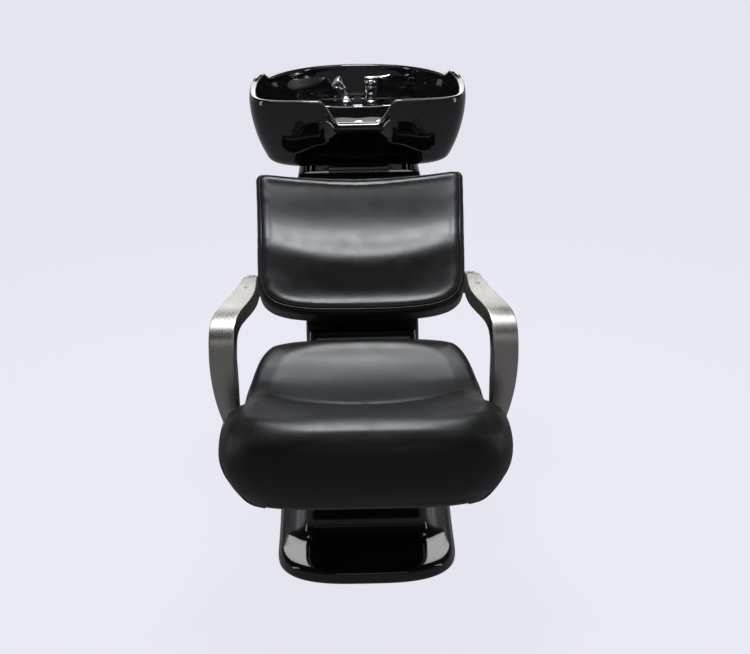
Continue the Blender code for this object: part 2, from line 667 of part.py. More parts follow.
# ------------------------------------------------------------------ basin
# half outline of the rim seen from above: (half width, y), front middle to rear middle
RIM_SIDE = [(0.0, 0.5730), (0.050, 0.5735), (0.100, 0.5755), (0.150, 0.5800), (0.194, 0.5880),
            (0.225, 0.6000), (0.247, 0.6190), (0.2580, 0.6450), (0.2632, 0.6800), (0.2655, 0.7200),
            (0.2637, 0.7650), (0.2567, 0.8100), (0.2465, 0.8500), (0.2330, 0.8900), (0.2143, 0.9300),
            (0.1885, 0.9700), (0.1535, 1.0060), (0.1100, 1.0350), (0.0565, 1.0530), (0.0, 1.0590)]
# height of the rim over distance from the front middle, as a share of the half length
RIM_HEIGHT = [(0.573, 0.9750), (0.600, 0.9755), (0.640, 0.9790), (0.700, 0.9860), (0.760, 0.9950),
              (0.810, 1.0030), (0.838, 1.0060), (0.852, 1.0040), (0.866, 0.9950), (0.885, 0.9915),
              (0.940, 0.9920), (1.059, 0.9960)]


def notch(x):
    """1 across the flat of the neck notch, 0 outside it."""
    return 1.0 - smooth01((abs(x) - 0.046) / 0.052)


def rim_height(x, y):
    z = curve_at(RIM_HEIGHT, y)
    if y < 0.62:
        z -= 0.050 * notch(x)
    return z


def basin_outline(n):
    half = [(x, y, 0.0) for x, y in RIM_SIDE]
    fine = resample(half + [(-x, y, 0.0) for x, y, _ in reversed(half[1:-1])], n)
    return fine


HULL = [(1.000, 0.00), (0.9995, 0.08), (0.985, 0.24), (0.962, 0.38), (0.925, 0.52), (0.872, 0.66),
        (0.805, 0.79), (0.725, 0.895), (0.640, 0.962), (0.560, 0.992)]
HULL_FULL = [1.000, 0.9995, 0.989, 0.970, 0.946, 0.914, 0.876, 0.834, 0.740, 0.600]   # the same at the sides
BOWL = [(0.936, 0.05), (0.918, 0.22), (0.895, 0.42), (0.860, 0.60), (0.805, 0.75), (0.725, 0.86),
        (0.610, 0.925), (0.470, 0.960), (0.320, 0.982), (0.200, 0.995)]
LIP_OUT = 0.026


def basin_rings(n=84):
    outline = basin_outline(n)
    cx, cy = BASIN_C

    def height(p):
        return rim_height(p.x, p.y)

    def outer(scale, f):
        out = []
        for p in outline:
            top = height(p) - 0.006
            base = RIM_Z if p.y < 0.80 else curve_at(RIM_HEIGHT, p.y)
            z = base - 0.006 - (base - 0.006 - HULL_Z) * f
            z = min(z, top - 0.010 * f * 8) if f < 0.12 else z
            front = notch(p.x) if p.y < 0.62 else 0.0
            # below the notch the wall leaves the rim line later and bulges into a lip
            if front > 0:
                z_n = top - (top - HULL_Z) * f
                z = z + (z_n - z) * front
            rear = smooth01((p.y - 0.86) / 0.12)
            own = scale + (HULL_FULL[HULL.index((scale, f))] - scale) * smooth01((abs(p.x) - 0.10) / 0.10)
            own += (1.0 - own) * 0.50 * rear
            x, y = cx + (p.x - cx) * own, cy + (p.y - cy) * own
            y -= LIP_OUT * front * math.exp(-((z - 0.910) / 0.024) ** 2)
            out.append((x, y, z))
        return out

    def inner(k, scale, f):
        out = []
        for p in outline:
            top = height(p) - 0.006
            z = top - (top - BOWL_Z) * f
            x, y = cx + (p.x - cx) * scale, cy + (p.y - cy) * scale
            front = notch(p.x) if p.y < 0.62 else 0.0
            y -= 0.004 * front * (1 - f)
            share = smooth01((p.y - 0.885) / 0.060)
            if share > 0:
                deck = DECK_Z + 0.005 * smooth01(abs(p.x) / 0.20)
                edge = DECK_EDGE + 0.014 * (1 - smooth01(abs(p.x) / 0.16))
                reach = (edge - cy) / (p.y - cy)
                own, zd = [(0.936, top - 0.010), (0.918, deck + 0.035), (0.900, deck + 0.008),
                           (0.880, deck), (min(0.87, reach + 0.08), deck),
                           (min(0.86, reach + 0.025), deck - 0.0012),
                           (min(0.84, reach), deck - 0.0085),
                           (min(0.80, reach - 0.05), deck - 0.034),
                           (min(0.66, reach - 0.17), deck - 0.058), (0.22, BOWL_Z + 0.0010)][k]
                x += (cx + (p.x - cx) * own - x) * share
                y += (cy + (p.y - cy) * own - y) * share
                z += (zd - z) * share
            out.append((x, y, z))
        return out

    def cap(scale, rise):
        out = []
        for p in outline:
            x, y = cx + (p.x - cx) * scale, cy + (p.y - cy) * scale
            front = notch(p.x) if p.y < 0.62 else 0.0
            y -= (LIP_OUT * 0.80 * (scale - 0.936) / 0.064) * front + 0.004 * front * (1 - (scale - 0.936) / 0.064)
            out.append((x, y, height(p) + rise))
        return out

    hole = [(cx + DRAIN_R * math.cos(a), cy + DRAIN_R * math.sin(a))
            for a in [-math.pi / 2 + 2 * math.pi * i / n for i in range(n)]]
    pad = [(cx + 0.036 * math.cos(a), cy + 0.036 * math.sin(a))
           for a in [-math.pi / 2 + 2 * math.pi * i / n for i in range(n)]]
    rings = [[(x, y, HULL_Z) for x, y in hole]]
    rings.append([(cx + (p.x - cx) * 0.30, cy + (p.y - cy) * 0.30, HULL_Z) for p in outline])
    rings += [[(x, y, max(z, HULL_Z)) for x, y, z in outer(s, f)] for s, f in reversed(HULL)]
    rings += [cap(0.992, -0.0015), cap(0.974, 0.0), cap(0.953, -0.0008), cap(0.940, -0.0035)]
    rings += [inner(k, s, f) for k, (s, f) in enumerate(BOWL)]
    rings.append([(x, y, BOWL_Z) for x, y in pad])
    rings.append([(x, y, BOWL_Z) for x, y in hole])
    return rings


brings = basin_rings()
verts, faces = loft(brings, False, False)
n_ring = len(brings[0])
last = (len(brings) - 1) * n_ring
for i in range(n_ring):
    j = (i + 1) % n_ring
    faces.append((last + i, last + j, j, i))
basin = make("basin", verts, faces, "glazed_black")

# hollow under the rear deck, and the two holes through it
hollow_out = [(0.105, 0.946), (0.105, 0.985), (0.085, 1.000), (-0.085, 1.000), (-0.105, 0.985),
              (-0.105, 0.946)]
operate(basin, make("cut_deck_hollow", *loft([[(x, y, z) for x, y in hollow_out]
                                              for z in (0.76, DECK_UNDER)]), None, helper=True))
mix_hole = rod("cut_mixer", 0.0140, (*MIX, 0.87), (*MIX, 0.93), None, 20, helper=True)
shw_hole = rod("cut_shower", 0.0130, (*SHW, 0.87), (*SHW, 0.93), None, 20, helper=True)
operate(basin, mix_hole)
operate(basin, shw_hole)


def turned(name, profile, at, mat, n=24, direction=(0, 0, 1)):
    verts, faces = lathe_geo(profile, n)
    return make(name, placed(verts, along(at, direction)), faces, mat)


def ring_part(name, outer_profile, inner_profile, at, mat, n=24):
    verts, faces = tube_geo(outer_profile, inner_profile, n)
    return make(name, placed(verts, Matrix.Translation(Vector(at))), faces, mat)


cx, cy = BASIN_C
ring_part("waste_flange",
          [(0.0194, 0.765), (0.0194, BOWL_Z + GAP), (0.0315, BOWL_Z + GAP), (0.0320, BOWL_Z + 0.0016),
           (0.0290, BOWL_Z + 0.0030)],
          [(0.0165, 0.765), (0.0165, BOWL_Z - 0.0030), (0.0205, BOWL_Z - 0.0005), (0.0240, BOWL_Z + 0.0018)],
          (cx, cy, 0), "chrome")
strainer_profile = [(0, BOWL_Z - 0.0010), (0.0150, BOWL_Z - 0.0010), (0.0196, BOWL_Z + 0.0022),
                    (0.0196, BOWL_Z + 0.0032), (0.0140, BOWL_Z + 0.0040), (0.0060, BOWL_Z + 0.0046),
                    (0.0045, BOWL_Z + 0.0060), (0.0050, BOWL_Z + 0.0110), (0.0030, BOWL_Z + 0.0125),
                    (0, BOWL_Z + 0.0125)]
strainer_profile = [(r * 0.985, z + 0.0006) for r, z in strainer_profile]
turned("hair_strainer", strainer_profile, (cx, cy, 0), "chrome")
ring_part("waste_gasket", [(0.0340, 0.7954), (0.0340, HULL_Z - GAP)], [(0.0198, 0.7954), (0.0198, HULL_Z - GAP)],
          (cx, cy, 0), "rubber_black")
ring_part("waste_locknut", [(0.0285, 0.7780), (0.0300, 0.7795), (0.0300, 0.7885)],
          [(0.0198, 0.7780), (0.0198, 0.7885)], (cx, cy, 0), "brass", 24)
ring_part("waste_tailpiece", [(0.0222, 0.700), (0.0222, 0.7625), (0.0250, 0.7640), (0.0250, 0.7775)],
          [(0.0180, 0.700), (0.0180, 0.7600), (0.0198, 0.7620), (0.0198, 0.7775)], (cx, cy, 0),
          "plastic_grey")

# ------------------------------------------------------------------ tilt mount
EAR_R = 0.0095


def ear_outline(z_plate, up):
    arc = []
    for i in range(9):
        a = math.pi * i / 8
        arc.append((TILT_Y + EAR_R * math.cos(a), TILT_Z + (EAR_R * math.sin(a)) * (1 if up else -1)))
    return [(TILT_Y + EAR_R, z_plate)] + arc + [(TILT_Y - EAR_R, z_plate)]


CRADLE = (0.7892, 0.7951)
cradle = merged("tilt_cradle", [
    box_geo(-0.0744, 0.0744, 0.668, 0.905, *CRADLE),
    prism_geo(ear_outline(0.7900, False), -0.0750, -0.0700),
    prism_geo(ear_outline(0.7900, False), 0.0700, 0.0750),
], "zinc_steel")
operate(cradle, rod("cut_cradle_waste", 0.0198, (cx, cy, 0.76), (cx, cy, 0.81), None, 24, helper=True))
tilt_base = merged("tilt_base", [
    box_geo(-0.1100, 0.1100, 0.668, 0.930, 0.7650 + GAP, 0.7693),
    prism_geo(ear_outline(0.7680, True), -0.0805, -0.0755),
    prism_geo(ear_outline(0.7680, True), 0.0755, 0.0805),
], "zinc_steel")
operate(tilt_base, box("cut_base_waste", -0.060, 0.060, 0.745, 0.875, 0.75, 0.79, None, helper=True))
for hole in tilt_holes:
    operate(tilt_base, hole)
pin_hole = rod("cut_pin", 0.0045, (-0.10, TILT_Y, TILT_Z), (0.10, TILT_Y, TILT_Z), None, 14, helper=True)
operate(cradle, pin_hole)
operate(tilt_base, pin_hole)
turned("tilt_pin", [(0, -0.0870), (0.0055, -0.0870), (0.0065, -0.0860), (0.0065, -0.0809),
                    (0.0041, -0.0809), (0.0041, 0.0809), (0.0065, 0.0809), (0.0065, 0.0860),
                    (0.0055, 0.0870), (0, 0.0870)], (0, TILT_Y, TILT_Z), "zinc_steel", 14, (1, 0, 0))
for i, (x, y) in enumerate(TILT_BOLTS):
    bolt(f"tilt_bolt_{i + 1}", (x, y, 0.7693 + GAP), (0, 0, 1), 0.0034, 0.0062, 0.0040, 0.020)

# ------------------------------------------------------------------ mixer and hand shower
mx, my = MIX
ring_part("mixer_flange", [(0.0210, DECK_Z + 0.0045), (0.0210, DECK_Z + 0.0062), (0.0190, DECK_Z + 0.0080)],
          [(0.0137, DECK_Z + 0.0045), (0.0137, DECK_Z + 0.0080)], (mx, my, 0), "chrome")
turned("mixer_body", [(0, 0.8620), (0.0118, 0.8620), (0.0133, 0.8635), (0.0133, DECK_Z + 0.0084),
                      (0.0172, DECK_Z + 0.0084), (0.0168, DECK_Z + 0.0120), (0.0160, DECK_Z + 0.0200),
                      (0.0165, DECK_Z + 0.0330), (0.0178, DECK_Z + 0.0400), (0.0178, DECK_Z + 0.0430),
                      (0, DECK_Z + 0.0430)], (mx, my, 0), "chrome")
ring_part("mixer_locknut", [(0.0195, 0.8780), (0.0205, 0.8790), (0.0205, DECK_UNDER - GAP)],
          [(0.0137, 0.8780), (0.0137, DECK_UNDER - GAP)], (mx, my, 0), "brass", 24)
for k, word in ((-1, "hot"), (1, "cold")):
    turned(f"supply_tail_{word}", [(0, 0.8220), (0.0030, 0.8220), (0.0036, 0.8226), (0.0036, 0.8617),
                                   (0, 0.8617)], (mx + k * 0.0065, my, 0), "brass", 12)
CAP_Z = DECK_Z + 0.0433
turned("mixer_cap", [(0, CAP_Z), (0.0180, CAP_Z), (0.0188, CAP_Z + 0.0012), (0.0188, CAP_Z + 0.0120),
                     (0.0172, CAP_Z + 0.0165), (0.0120, CAP_Z + 0.0185), (0, CAP_Z + 0.0188)],
       (mx, my, 0), "chrome")
LEVER_Z = CAP_Z + 0.0192
lever_rings = []
for s, hw, h, up in ((-0.0165, 0.0060, 0.0030, 0.0), (-0.0150, 0.0098, 0.0050, 0.0),
                     (-0.0060, 0.0132, 0.0066, 0.0), (0.0060, 0.0132, 0.0068, 0.0),
                     (0.0150, 0.0105, 0.0062, 0.0006), (0.0260, 0.0075, 0.0048, 0.0022),
                     (0.0380, 0.0066, 0.0040, 0.0046), (0.0480, 0.0064, 0.0038, 0.0068),
                     (0.0510, 0.0045, 0.0026, 0.0078)):
    lever_rings.append([(mx + s, my + hw * c, LEVER_Z + up + h * 0.5 + h * 0.5 * d) for c, d in
                        ((1, -0.5), (1, 0.4), (0.75, 1), (-0.75, 1), (-1, 0.4), (-1, -0.5),
                         (-0.75, -1), (0.75, -1))])
make("mixer_lever", *loft(lever_rings), "chrome")

sx, sy = SHW
ring_part("shower_holder",
          [(0.0124, 0.8640), (0.0124, DECK_Z + 0.0045), (0.0165, DECK_Z + 0.0045),
           (0.0165, DECK_Z + 0.0062), (0.0146, DECK_Z + 0.0085), (0.0138, DECK_Z + 0.0150)],
          [(0.0100, 0.8640), (0.0100, DECK_Z + 0.0130), (0.0112, DECK_Z + 0.0150)], (sx, sy, 0), "chrome")
ring_part("holder_locknut", [(0.0185, 0.8780), (0.0195, 0.8790), (0.0195, DECK_UNDER - GAP)],
          [(0.0128, 0.8780), (0.0128, DECK_UNDER - GAP)], (sx, sy, 0), "brass", 24)
HEAD_DIR = Vector((-0.86, -0.10, 0.40)).normalized()
neck = [((sx, sy, 0.8450), 0.0085), ((sx, sy, 0.8460), 0.0094), ((sx, sy, DECK_Z + 0.0154), 0.0094),
        ((sx, sy, DECK_Z + 0.0156), 0.0126), ((sx, sy, DECK_Z + 0.0176), 0.0126),
        ((sx, sy, DECK_Z + 0.0200), 0.0086), ((sx - 0.0010, sy, DECK_Z + 0.0280), 0.0080),
        ((sx - 0.0050, sy - 0.0005, DECK_Z + 0.0375), 0.0084),
        ((sx - 0.0105, sy - 0.0010, DECK_Z + 0.0445), 0.0100),
        ((sx - 0.0150, sy - 0.0015, DECK_Z + 0.0480), 0.0128)]
handle_rings = []
for i, (p, r) in enumerate(neck):
    a, b = Vector(neck[max(0, i - 1)][0]), Vector(neck[min(len(neck) - 1, i + 1)][0])
    m = along(p, b - a)
    handle_rings.append(placed(circle(r, 0.0, 18), m))
make("shower_handle", *loft(handle_rings), "chrome")
end = Vector(neck[-1][0])
tip_dir = (Vector(neck[-1][0]) - Vector(neck[-2][0])).normalized()
turned("shower_head", [(0, 0.0003), (0.0125, 0.0003), (0.0155, 0.0030), (0.0170, 0.0080),
                       (0.0172, 0.0130), (0.0165, 0.0142), (0, 0.0142)], end, "chrome", 24, tip_dir)
turned("spray_face", [(0, 0.0), (0.0150, 0.0), (0.0150, 0.0012), (0.0130, 0.0022), (0, 0.0024)],
       end + tip_dir * 0.0145, "plastic_grey", 24, tip_dir)
hose_tail = ring_part("hose_nipple", [(0.0055, 0.8230), (0.0060, 0.8240), (0.0060, 0.8447)],
                      [(0.0035, 0.8230), (0.0035, 0.8447)], (sx, sy, 0), "brass", 14)
make("deck_cover", *loft([
    [(-0.0115, 0.960, z0), (0.0135, 0.960, z0), (0.0135, 0.980, z0), (-0.0115, 0.980, z0)] if k == 0 else
    [(-0.0085, 0.966, z0), (0.0105, 0.966, z0), (0.0105, 0.978, z0), (-0.0085, 0.978, z0)]
    for k, z0 in ((0, DECK_Z + 0.0045), (1, DECK_Z + 0.0160))]), "chrome", smooth=False)

# ------------------------------------------------------------------ object frame and joint origins
PIVOTS = {
    "basin": (0, TILT_Y, TILT_Z), "tilt_cradle": (0, TILT_Y, TILT_Z),
    "mixer_cap": (mx, my, CAP_Z), "mixer_lever": (mx - 0.0165, my, LEVER_Z),
    "shower_handle": (sx, sy, DECK_Z), "hair_strainer": (cx, cy, BOWL_Z),
}
for obj in bpy.data.objects:
    pivot = Vector(PIVOTS.get(obj.name, (0, 0, 0)))
    if pivot.length:
        obj.data.transform(Matrix.Translation(-pivot))
    obj.location = pivot + Vector((0, DY, 0))
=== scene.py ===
"""Looks for the shampoo backwash unit: finer surfaces, seams, materials, light and camera,
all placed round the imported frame. Metres, +Z up, the sitter faces -Y."""

import math

import bmesh
import bpy
import numpy as np
from mathutils import Matrix, Vector
from mathutils.kdtree import KDTree


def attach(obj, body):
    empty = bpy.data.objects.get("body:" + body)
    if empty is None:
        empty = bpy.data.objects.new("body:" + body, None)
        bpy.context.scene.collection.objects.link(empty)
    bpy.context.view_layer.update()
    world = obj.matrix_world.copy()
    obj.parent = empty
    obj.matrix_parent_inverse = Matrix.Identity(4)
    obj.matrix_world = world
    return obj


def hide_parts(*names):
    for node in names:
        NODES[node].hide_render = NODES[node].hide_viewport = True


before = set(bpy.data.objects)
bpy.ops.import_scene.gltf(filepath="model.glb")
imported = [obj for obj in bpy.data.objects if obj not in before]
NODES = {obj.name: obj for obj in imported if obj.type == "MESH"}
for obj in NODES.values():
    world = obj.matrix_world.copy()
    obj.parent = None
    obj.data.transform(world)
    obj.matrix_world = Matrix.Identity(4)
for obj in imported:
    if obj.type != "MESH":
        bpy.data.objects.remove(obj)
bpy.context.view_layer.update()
SCENE = bpy.context.scene

DY = -0.3845
GAP = 0.0003


# ====================================================================== numbers and curves
def smooth01(t):
    t = np.clip(t, 0.0, 1.0)
    return t * t * (3 - 2 * t)


def curve_at(keys, t):
    """Cubic through (t, value) keys without overshoot, for one number or an array."""
    ks = np.array([k[0] for k in keys], float)
    vs = np.array([k[1] for k in keys], float)
    d = np.diff(vs) / np.diff(ks)
    m = np.empty(len(ks))
    m[0], m[-1] = d[0], d[-1]
    for i in range(1, len(ks) - 1):
        a, b = d[i - 1], d[i]
        m[i] = 0.0 if a * b <= 0 else 2 * a * b / (a + b)
    t = np.clip(np.asarray(t, float), ks[0], ks[-1])
    i = np.clip(np.searchsorted(ks, t, side="right") - 1, 0, len(ks) - 2)
    h = ks[i + 1] - ks[i]
    s = (t - ks[i]) / h
    return ((2 * s**3 - 3 * s**2 + 1) * vs[i] + (s**3 - 2 * s**2 + s) * h * m[i]
            + (-2 * s**3 + 3 * s**2) * vs[i + 1] + (s**3 - s**2) * h * m[i + 1])


def spline_rows(rows, per):
    """More rows through these (k, n, 3) rows. per is how many steps each gap gets.
    Returns the rows and the place of each given row among them."""
    rows = np.asarray(rows, float)
    k = len(rows)
    per = [per] * (k - 1) if isinstance(per, int) else list(per)
    gaps = np.sqrt(np.maximum(np.linalg.norm(np.diff(rows, axis=0), axis=2).mean(axis=1), 1e-9))
    slope = np.empty_like(rows)
    d = np.diff(rows, axis=0) / gaps[:, None, None]
    slope[0], slope[-1] = d[0], d[-1]
    for i in range(1, k - 1):
        a, b = gaps[i - 1], gaps[i]
        slope[i] = (d[i - 1] * b + d[i] * a) / (a + b)
    out, at = [], []
    for i in range(k - 1):
        at.append(len(out))
        for j in range(per[i]):
            s = j / per[i]
            h = gaps[i]
            out.append((2 * s**3 - 3 * s**2 + 1) * rows[i] + (s**3 - 2 * s**2 + s) * h * slope[i]
                       + (-2 * s**3 + 3 * s**2) * rows[i + 1] + (s**3 - s**2) * h * slope[i + 1])
    at.append(len(out))
    out.append(rows[-1])
    return np.array(out), at


def resample(points, n):
    """n points evenly spaced along a closed line."""
    pts = np.asarray(points, float)
    closed = np.vstack([pts, pts[:1]])
    walked = np.concatenate([[0], np.cumsum(np.linalg.norm(np.diff(closed, axis=0), axis=1))])
    want = walked[-1] * np.arange(n) / n
    return np.stack([np.interp(want, walked, closed[:, c]) for c in range(pts.shape[1])], axis=1)


def smooth_outline(half, n, per=14):
    """Closed smooth outline from a half outline, front middle to rear middle."""
    pts = [(x, y) for x, y in half] + [(-x, y) for x, y in reversed(half[1:-1])]
    pts = np.array(pts, float)
    k = len(pts)
    gaps = np.sqrt(np.maximum(np.linalg.norm(np.roll(pts, -1, 0) - pts, axis=1), 1e-9))
    d = (np.roll(pts, -1, 0) - pts) / gaps[:, None]
    back = np.roll(gaps, 1)
    slope = (np.roll(d, 1, 0) * gaps[:, None] + d * back[:, None]) / (gaps + back)[:, None]
    out = []
    for i in range(k):
        a, b, h = pts[i], pts[(i + 1) % k], gaps[i]
        for j in range(per):
            s = j / per
            out.append((2 * s**3 - 3 * s**2 + 1) * a + (s**3 - 2 * s**2 + s) * h * slope[i]
                       + (-2 * s**3 + 3 * s**2) * b + (s**3 - s**2) * h * slope[(i + 1) % k])
    return resample(out, n)


def ripple(points, scale, seed):
    """Soft repeatable waviness from a few sine waves, about -1 to 1."""
    rng = np.random.RandomState(seed)
    total = np.zeros(len(points))
    for _ in range(7):
        direction = rng.normal(size=3)
        direction *= scale * (0.6 + 0.9 * rng.rand()) / np.linalg.norm(direction)
        total += np.sin(points @ direction + rng.rand() * 6.28)
    return total / 3.5


# ====================================================================== meshes
def piece(name, verts, faces, mat, smooth=True):
    mesh = bpy.data.meshes.new(name)
    mesh.from_pydata([tuple(map(float, v)) for v in verts], [], faces)
    bm = bmesh.new()
    bm.from_mesh(mesh)
    bmesh.ops.recalc_face_normals(bm, faces=bm.faces)
    if bm.calc_volume(signed=True) < 0:
        bmesh.ops.reverse_faces(bm, faces=bm.faces)
    bm.to_mesh(mesh)
    bm.free()
    obj = bpy.data.objects.new(name, mesh)
    SCENE.collection.objects.link(obj)
    if mat is not None:
        mesh.materials.append(mat)
    mesh.polygons.foreach_set("use_smooth", [smooth] * len(mesh.polygons))
    return obj


def helper(name, verts, faces):
    obj = piece(name, verts, faces, None, smooth=False)
    obj.hide_render = True
    obj.hide_viewport = True
    return obj


def rows_geo(rows, cap0=True, cap1=True):
    """Faces over rows of equal length round closed rings; a row of one repeated point is a pole."""
    rows = np.asarray(rows, float)
    k, n = rows.shape[:2]
    verts = rows.reshape(-1, 3).tolist()
    faces = [(a * n + i, a * n + (i + 1) % n, (a + 1) * n + (i + 1) % n, (a + 1) * n + i)
             for a in range(k - 1) for i in range(n)]
    for use, row in ((cap0, 0), (cap1, k - 1)):
        if use:
            verts.append(rows[row].mean(axis=0).tolist())
            faces += [(row * n + i, row * n + (i + 1) % n, len(verts) - 1) for i in range(n)]
    return verts, faces


def cut(obj, other, name):
    mod = obj.modifiers.new(name, "BOOLEAN")
    mod.operation = "DIFFERENCE"
    mod.solver = "EXACT"
    mod.object = other
    return obj


def apply_modifiers(obj):
    """The mesh as its modifiers make it, with none left on the piece."""
    graph = bpy.context.evaluated_depsgraph_get()
    graph.update()
    made = bpy.data.meshes.new_from_object(obj.evaluated_get(graph))
    obj.modifiers.clear()
    obj.data = made
    return obj


def fillet(profile, r=0.0006, seg=4):
    """Rounds the corners of a (radius, height) profile."""
    out = [profile[0]]
    for i in range(1, len(profile) - 1):
        a, b, c = (np.array(profile[j], float) for j in (i - 1, i, i + 1))
        la, lc = np.linalg.norm(a - b), np.linalg.norm(c - b)
        cosine = np.dot(a - b, c - b) / max(la * lc, 1e-12)
        if cosine < -0.985 or la < 1e-6 or lc < 1e-6:
            out.append(tuple(b))
            continue
        reach = min(r / max(math.tan(math.acos(np.clip(cosine, -1, 1)) / 2), 0.15), la * 0.45, lc * 0.45)
        p, q = b + (a - b) / la * reach, b + (c - b) / lc * reach
        for j in range(seg + 1):
            s = j / seg
            out.append(tuple((1 - s) ** 2 * p + 2 * s * (1 - s) * b + s * s * q))
    out.append(profile[-1])
    return [(max(0.0, x), z) for x, z in out]


def lathe(profile, n=64):
    turn = 2 * np.pi * np.arange(n) / n
    rows = [np.stack([r * np.cos(turn), r * np.sin(turn), np.full(n, z)], axis=1) for r, z in profile]
    return np.array(rows)


def lathe_geo(profile, n=64):
    """A turned solid; its ends close with a fan, so a radius of 0 is left out."""
    keep = [(r, z) for r, z in profile if r > 1e-7]
    verts, faces = rows_geo(lathe(keep, n))
    k = len(keep)
    verts[k * n] = [0, 0, profile[0][1]]
    verts[k * n + 1] = [0, 0, profile[-1][1]]
    return verts, faces


def tube_geo(outer, inner, n=64):
    rows = lathe(list(outer) + list(reversed(inner)), n)
    verts, faces = rows_geo(rows, False, False)
    k = len(rows)
    faces += [((k - 1) * n + i, (k - 1) * n + (i + 1) % n, (i + 1) % n, i) for i in range(n)]
    return verts, faces


def along(point, direction):
    turn = Vector(direction).normalized().to_track_quat("Z", "Y").to_matrix().to_4x4()
    return Matrix.Translation(Vector(point)) @ turn


def placed(verts, matrix):
    m = np.array(matrix)
    v = np.asarray(verts, float)
    return v @ m[:3, :3].T + m[:3, 3]


def shifted(verts):
    v = np.asarray(verts, float).copy()
    v[..., 1] += DY
    return v


def box_geo(x0, x1, y0, y1, z0, z1):
    verts = [(x, y, z) for z in (z0, z1) for x, y in ((x0, y0), (x1, y0), (x1, y1), (x0, y1))]
    faces = [(3, 2, 1, 0), (4, 5, 6, 7), (0, 1, 5, 4), (1, 2, 6, 5), (2, 3, 7, 6), (3, 0, 4, 7)]
    return verts, faces


def put(obj, body, slot, *nodes):
    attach(obj, body)
    if nodes:
        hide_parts(*nodes)
    return obj


def tube_along(points, r, sides=12, closed=False):
    """A round cord of radius r along points."""
    pts = np.asarray(points, float)
    n = len(pts)
    rows, up = [], None
    for i in range(n):
        a = pts[(i - 1) % n] if closed or i else pts[0]
        b = pts[(i + 1) % n] if closed or i < n - 1 else pts[-1]
        t = (b - a) / max(np.linalg.norm(b - a), 1e-9)
        if up is None:
            up = np.cross(t, [0.31, 0.17, 0.93])
        up = up - t * np.dot(up, t)
        up /= np.linalg.norm(up)
        side = np.cross(t, up)
        turn = 2 * np.pi * np.arange(sides) / sides
        rows.append(pts[i] + r * (np.cos(turn)[:, None] * up + np.sin(turn)[:, None] * side))
    if closed:
        verts, faces = rows_geo(rows, False, False)
        last = (n - 1) * sides
        # match the seam of the loop to the nearest turn of the first ring
        gap = [np.linalg.norm(rows[-1][0] - rows[0][j]) for j in range(sides)]
        shift = int(np.argmin(gap))
        faces += [(last + i, last + (i + 1) % sides, (i + 1 + shift) % sides, (i + shift) % sides)
                  for i in range(sides)]
        return verts, faces
    return rows_geo(rows)


def even(points, step, closed=False):
    """Points along a line at an even step."""
    pts = np.asarray(points, float)
    line = np.vstack([pts, pts[:1]]) if closed else pts
    walked = np.concatenate([[0], np.cumsum(np.linalg.norm(np.diff(line, axis=0), axis=1))])
    count = max(2, int(walked[-1] / step))
    want = walked[-1] * np.arange(count + (0 if closed else 1)) / count
    return np.stack([np.interp(want, walked, line[:, c]) for c in range(3)], axis=1)


def stitch_geo(points, lift, pitch, length, r):
    """Short thread loops lying along a line; lift is the outward direction at each point."""
    pts = np.asarray(points, float)
    out = np.asarray(lift, float)
    walked = np.concatenate([[0], np.cumsum(np.linalg.norm(np.diff(pts, axis=0), axis=1))])
    verts, faces = [], []
    shape = [(-0.5, 0.25), (-0.42, 0.8), (-0.15, 1.0), (0.15, 1.0), (0.42, 0.8), (0.5, 0.25)]
    count = int(walked[-1] / pitch)
    for k in range(count):
        mid = (k + 0.5) * pitch
        p = np.array([np.interp(mid, walked, pts[:, c]) for c in range(3)])
        q = np.array([np.interp(mid + 0.001, walked, pts[:, c]) for c in range(3)])
        u = np.array([np.interp(mid, walked, out[:, c]) for c in range(3)])
        t = q - p
        if np.linalg.norm(t) < 1e-9:
            continue
        t /= np.linalg.norm(t)
        u = u - t * np.dot(u, t)
        u /= max(np.linalg.norm(u), 1e-9)
        w = np.cross(t, u)
        base = len(verts)
        for s, g in shape:
            for a in range(6):
                turn = math.pi * a / 3
                arch = 0.35 * r * (1 - (2 * s) ** 2)
                verts.append(p + t * s * length + u * (math.sin(turn) * r * g + arch) + w * math.cos(turn) * r * g * 1.25)
        for row in range(len(shape) - 1):
            for a in range(6):
                b = (a + 1) % 6
                faces.append((base + row * 6 + a, base + row * 6 + b,
                              base + (row + 1) * 6 + b, base + (row + 1) * 6 + a))
        faces.append(tuple(base + a for a in range(6)))
        faces.append(tuple(base + (len(shape) - 1) * 6 + a for a in reversed(range(6))))
    return verts, faces


def normals_of(obj):
    out = np.empty(len(obj.data.vertices) * 3)
    obj.data.vertex_normals.foreach_get("vector", out)
    return out.reshape(-1, 3)


def coords_of(obj):
    out = np.empty(len(obj.data.vertices) * 3)
    obj.data.vertices.foreach_get("co", out)
    return out.reshape(-1, 3)


def set_coords(obj, co):
    obj.data.vertices.foreach_set("co", np.asarray(co, float).ravel())
    obj.data.update()


def near_line(co, line, reach):
    """Distance from each point to a line of closely set points, or a large number beyond reach."""
    tree = KDTree(len(line))
    for i, p in enumerate(line):
        tree.insert(p, i)
    tree.balance()
    lo, hi = line.min(axis=0) - reach, line.max(axis=0) + reach
    inside = np.all((co > lo) & (co < hi), axis=1)
    out = np.full(len(co), 9.0)
    for i in np.nonzero(inside)[0]:
        out[i] = tree.find(co[i])[2]
    return out


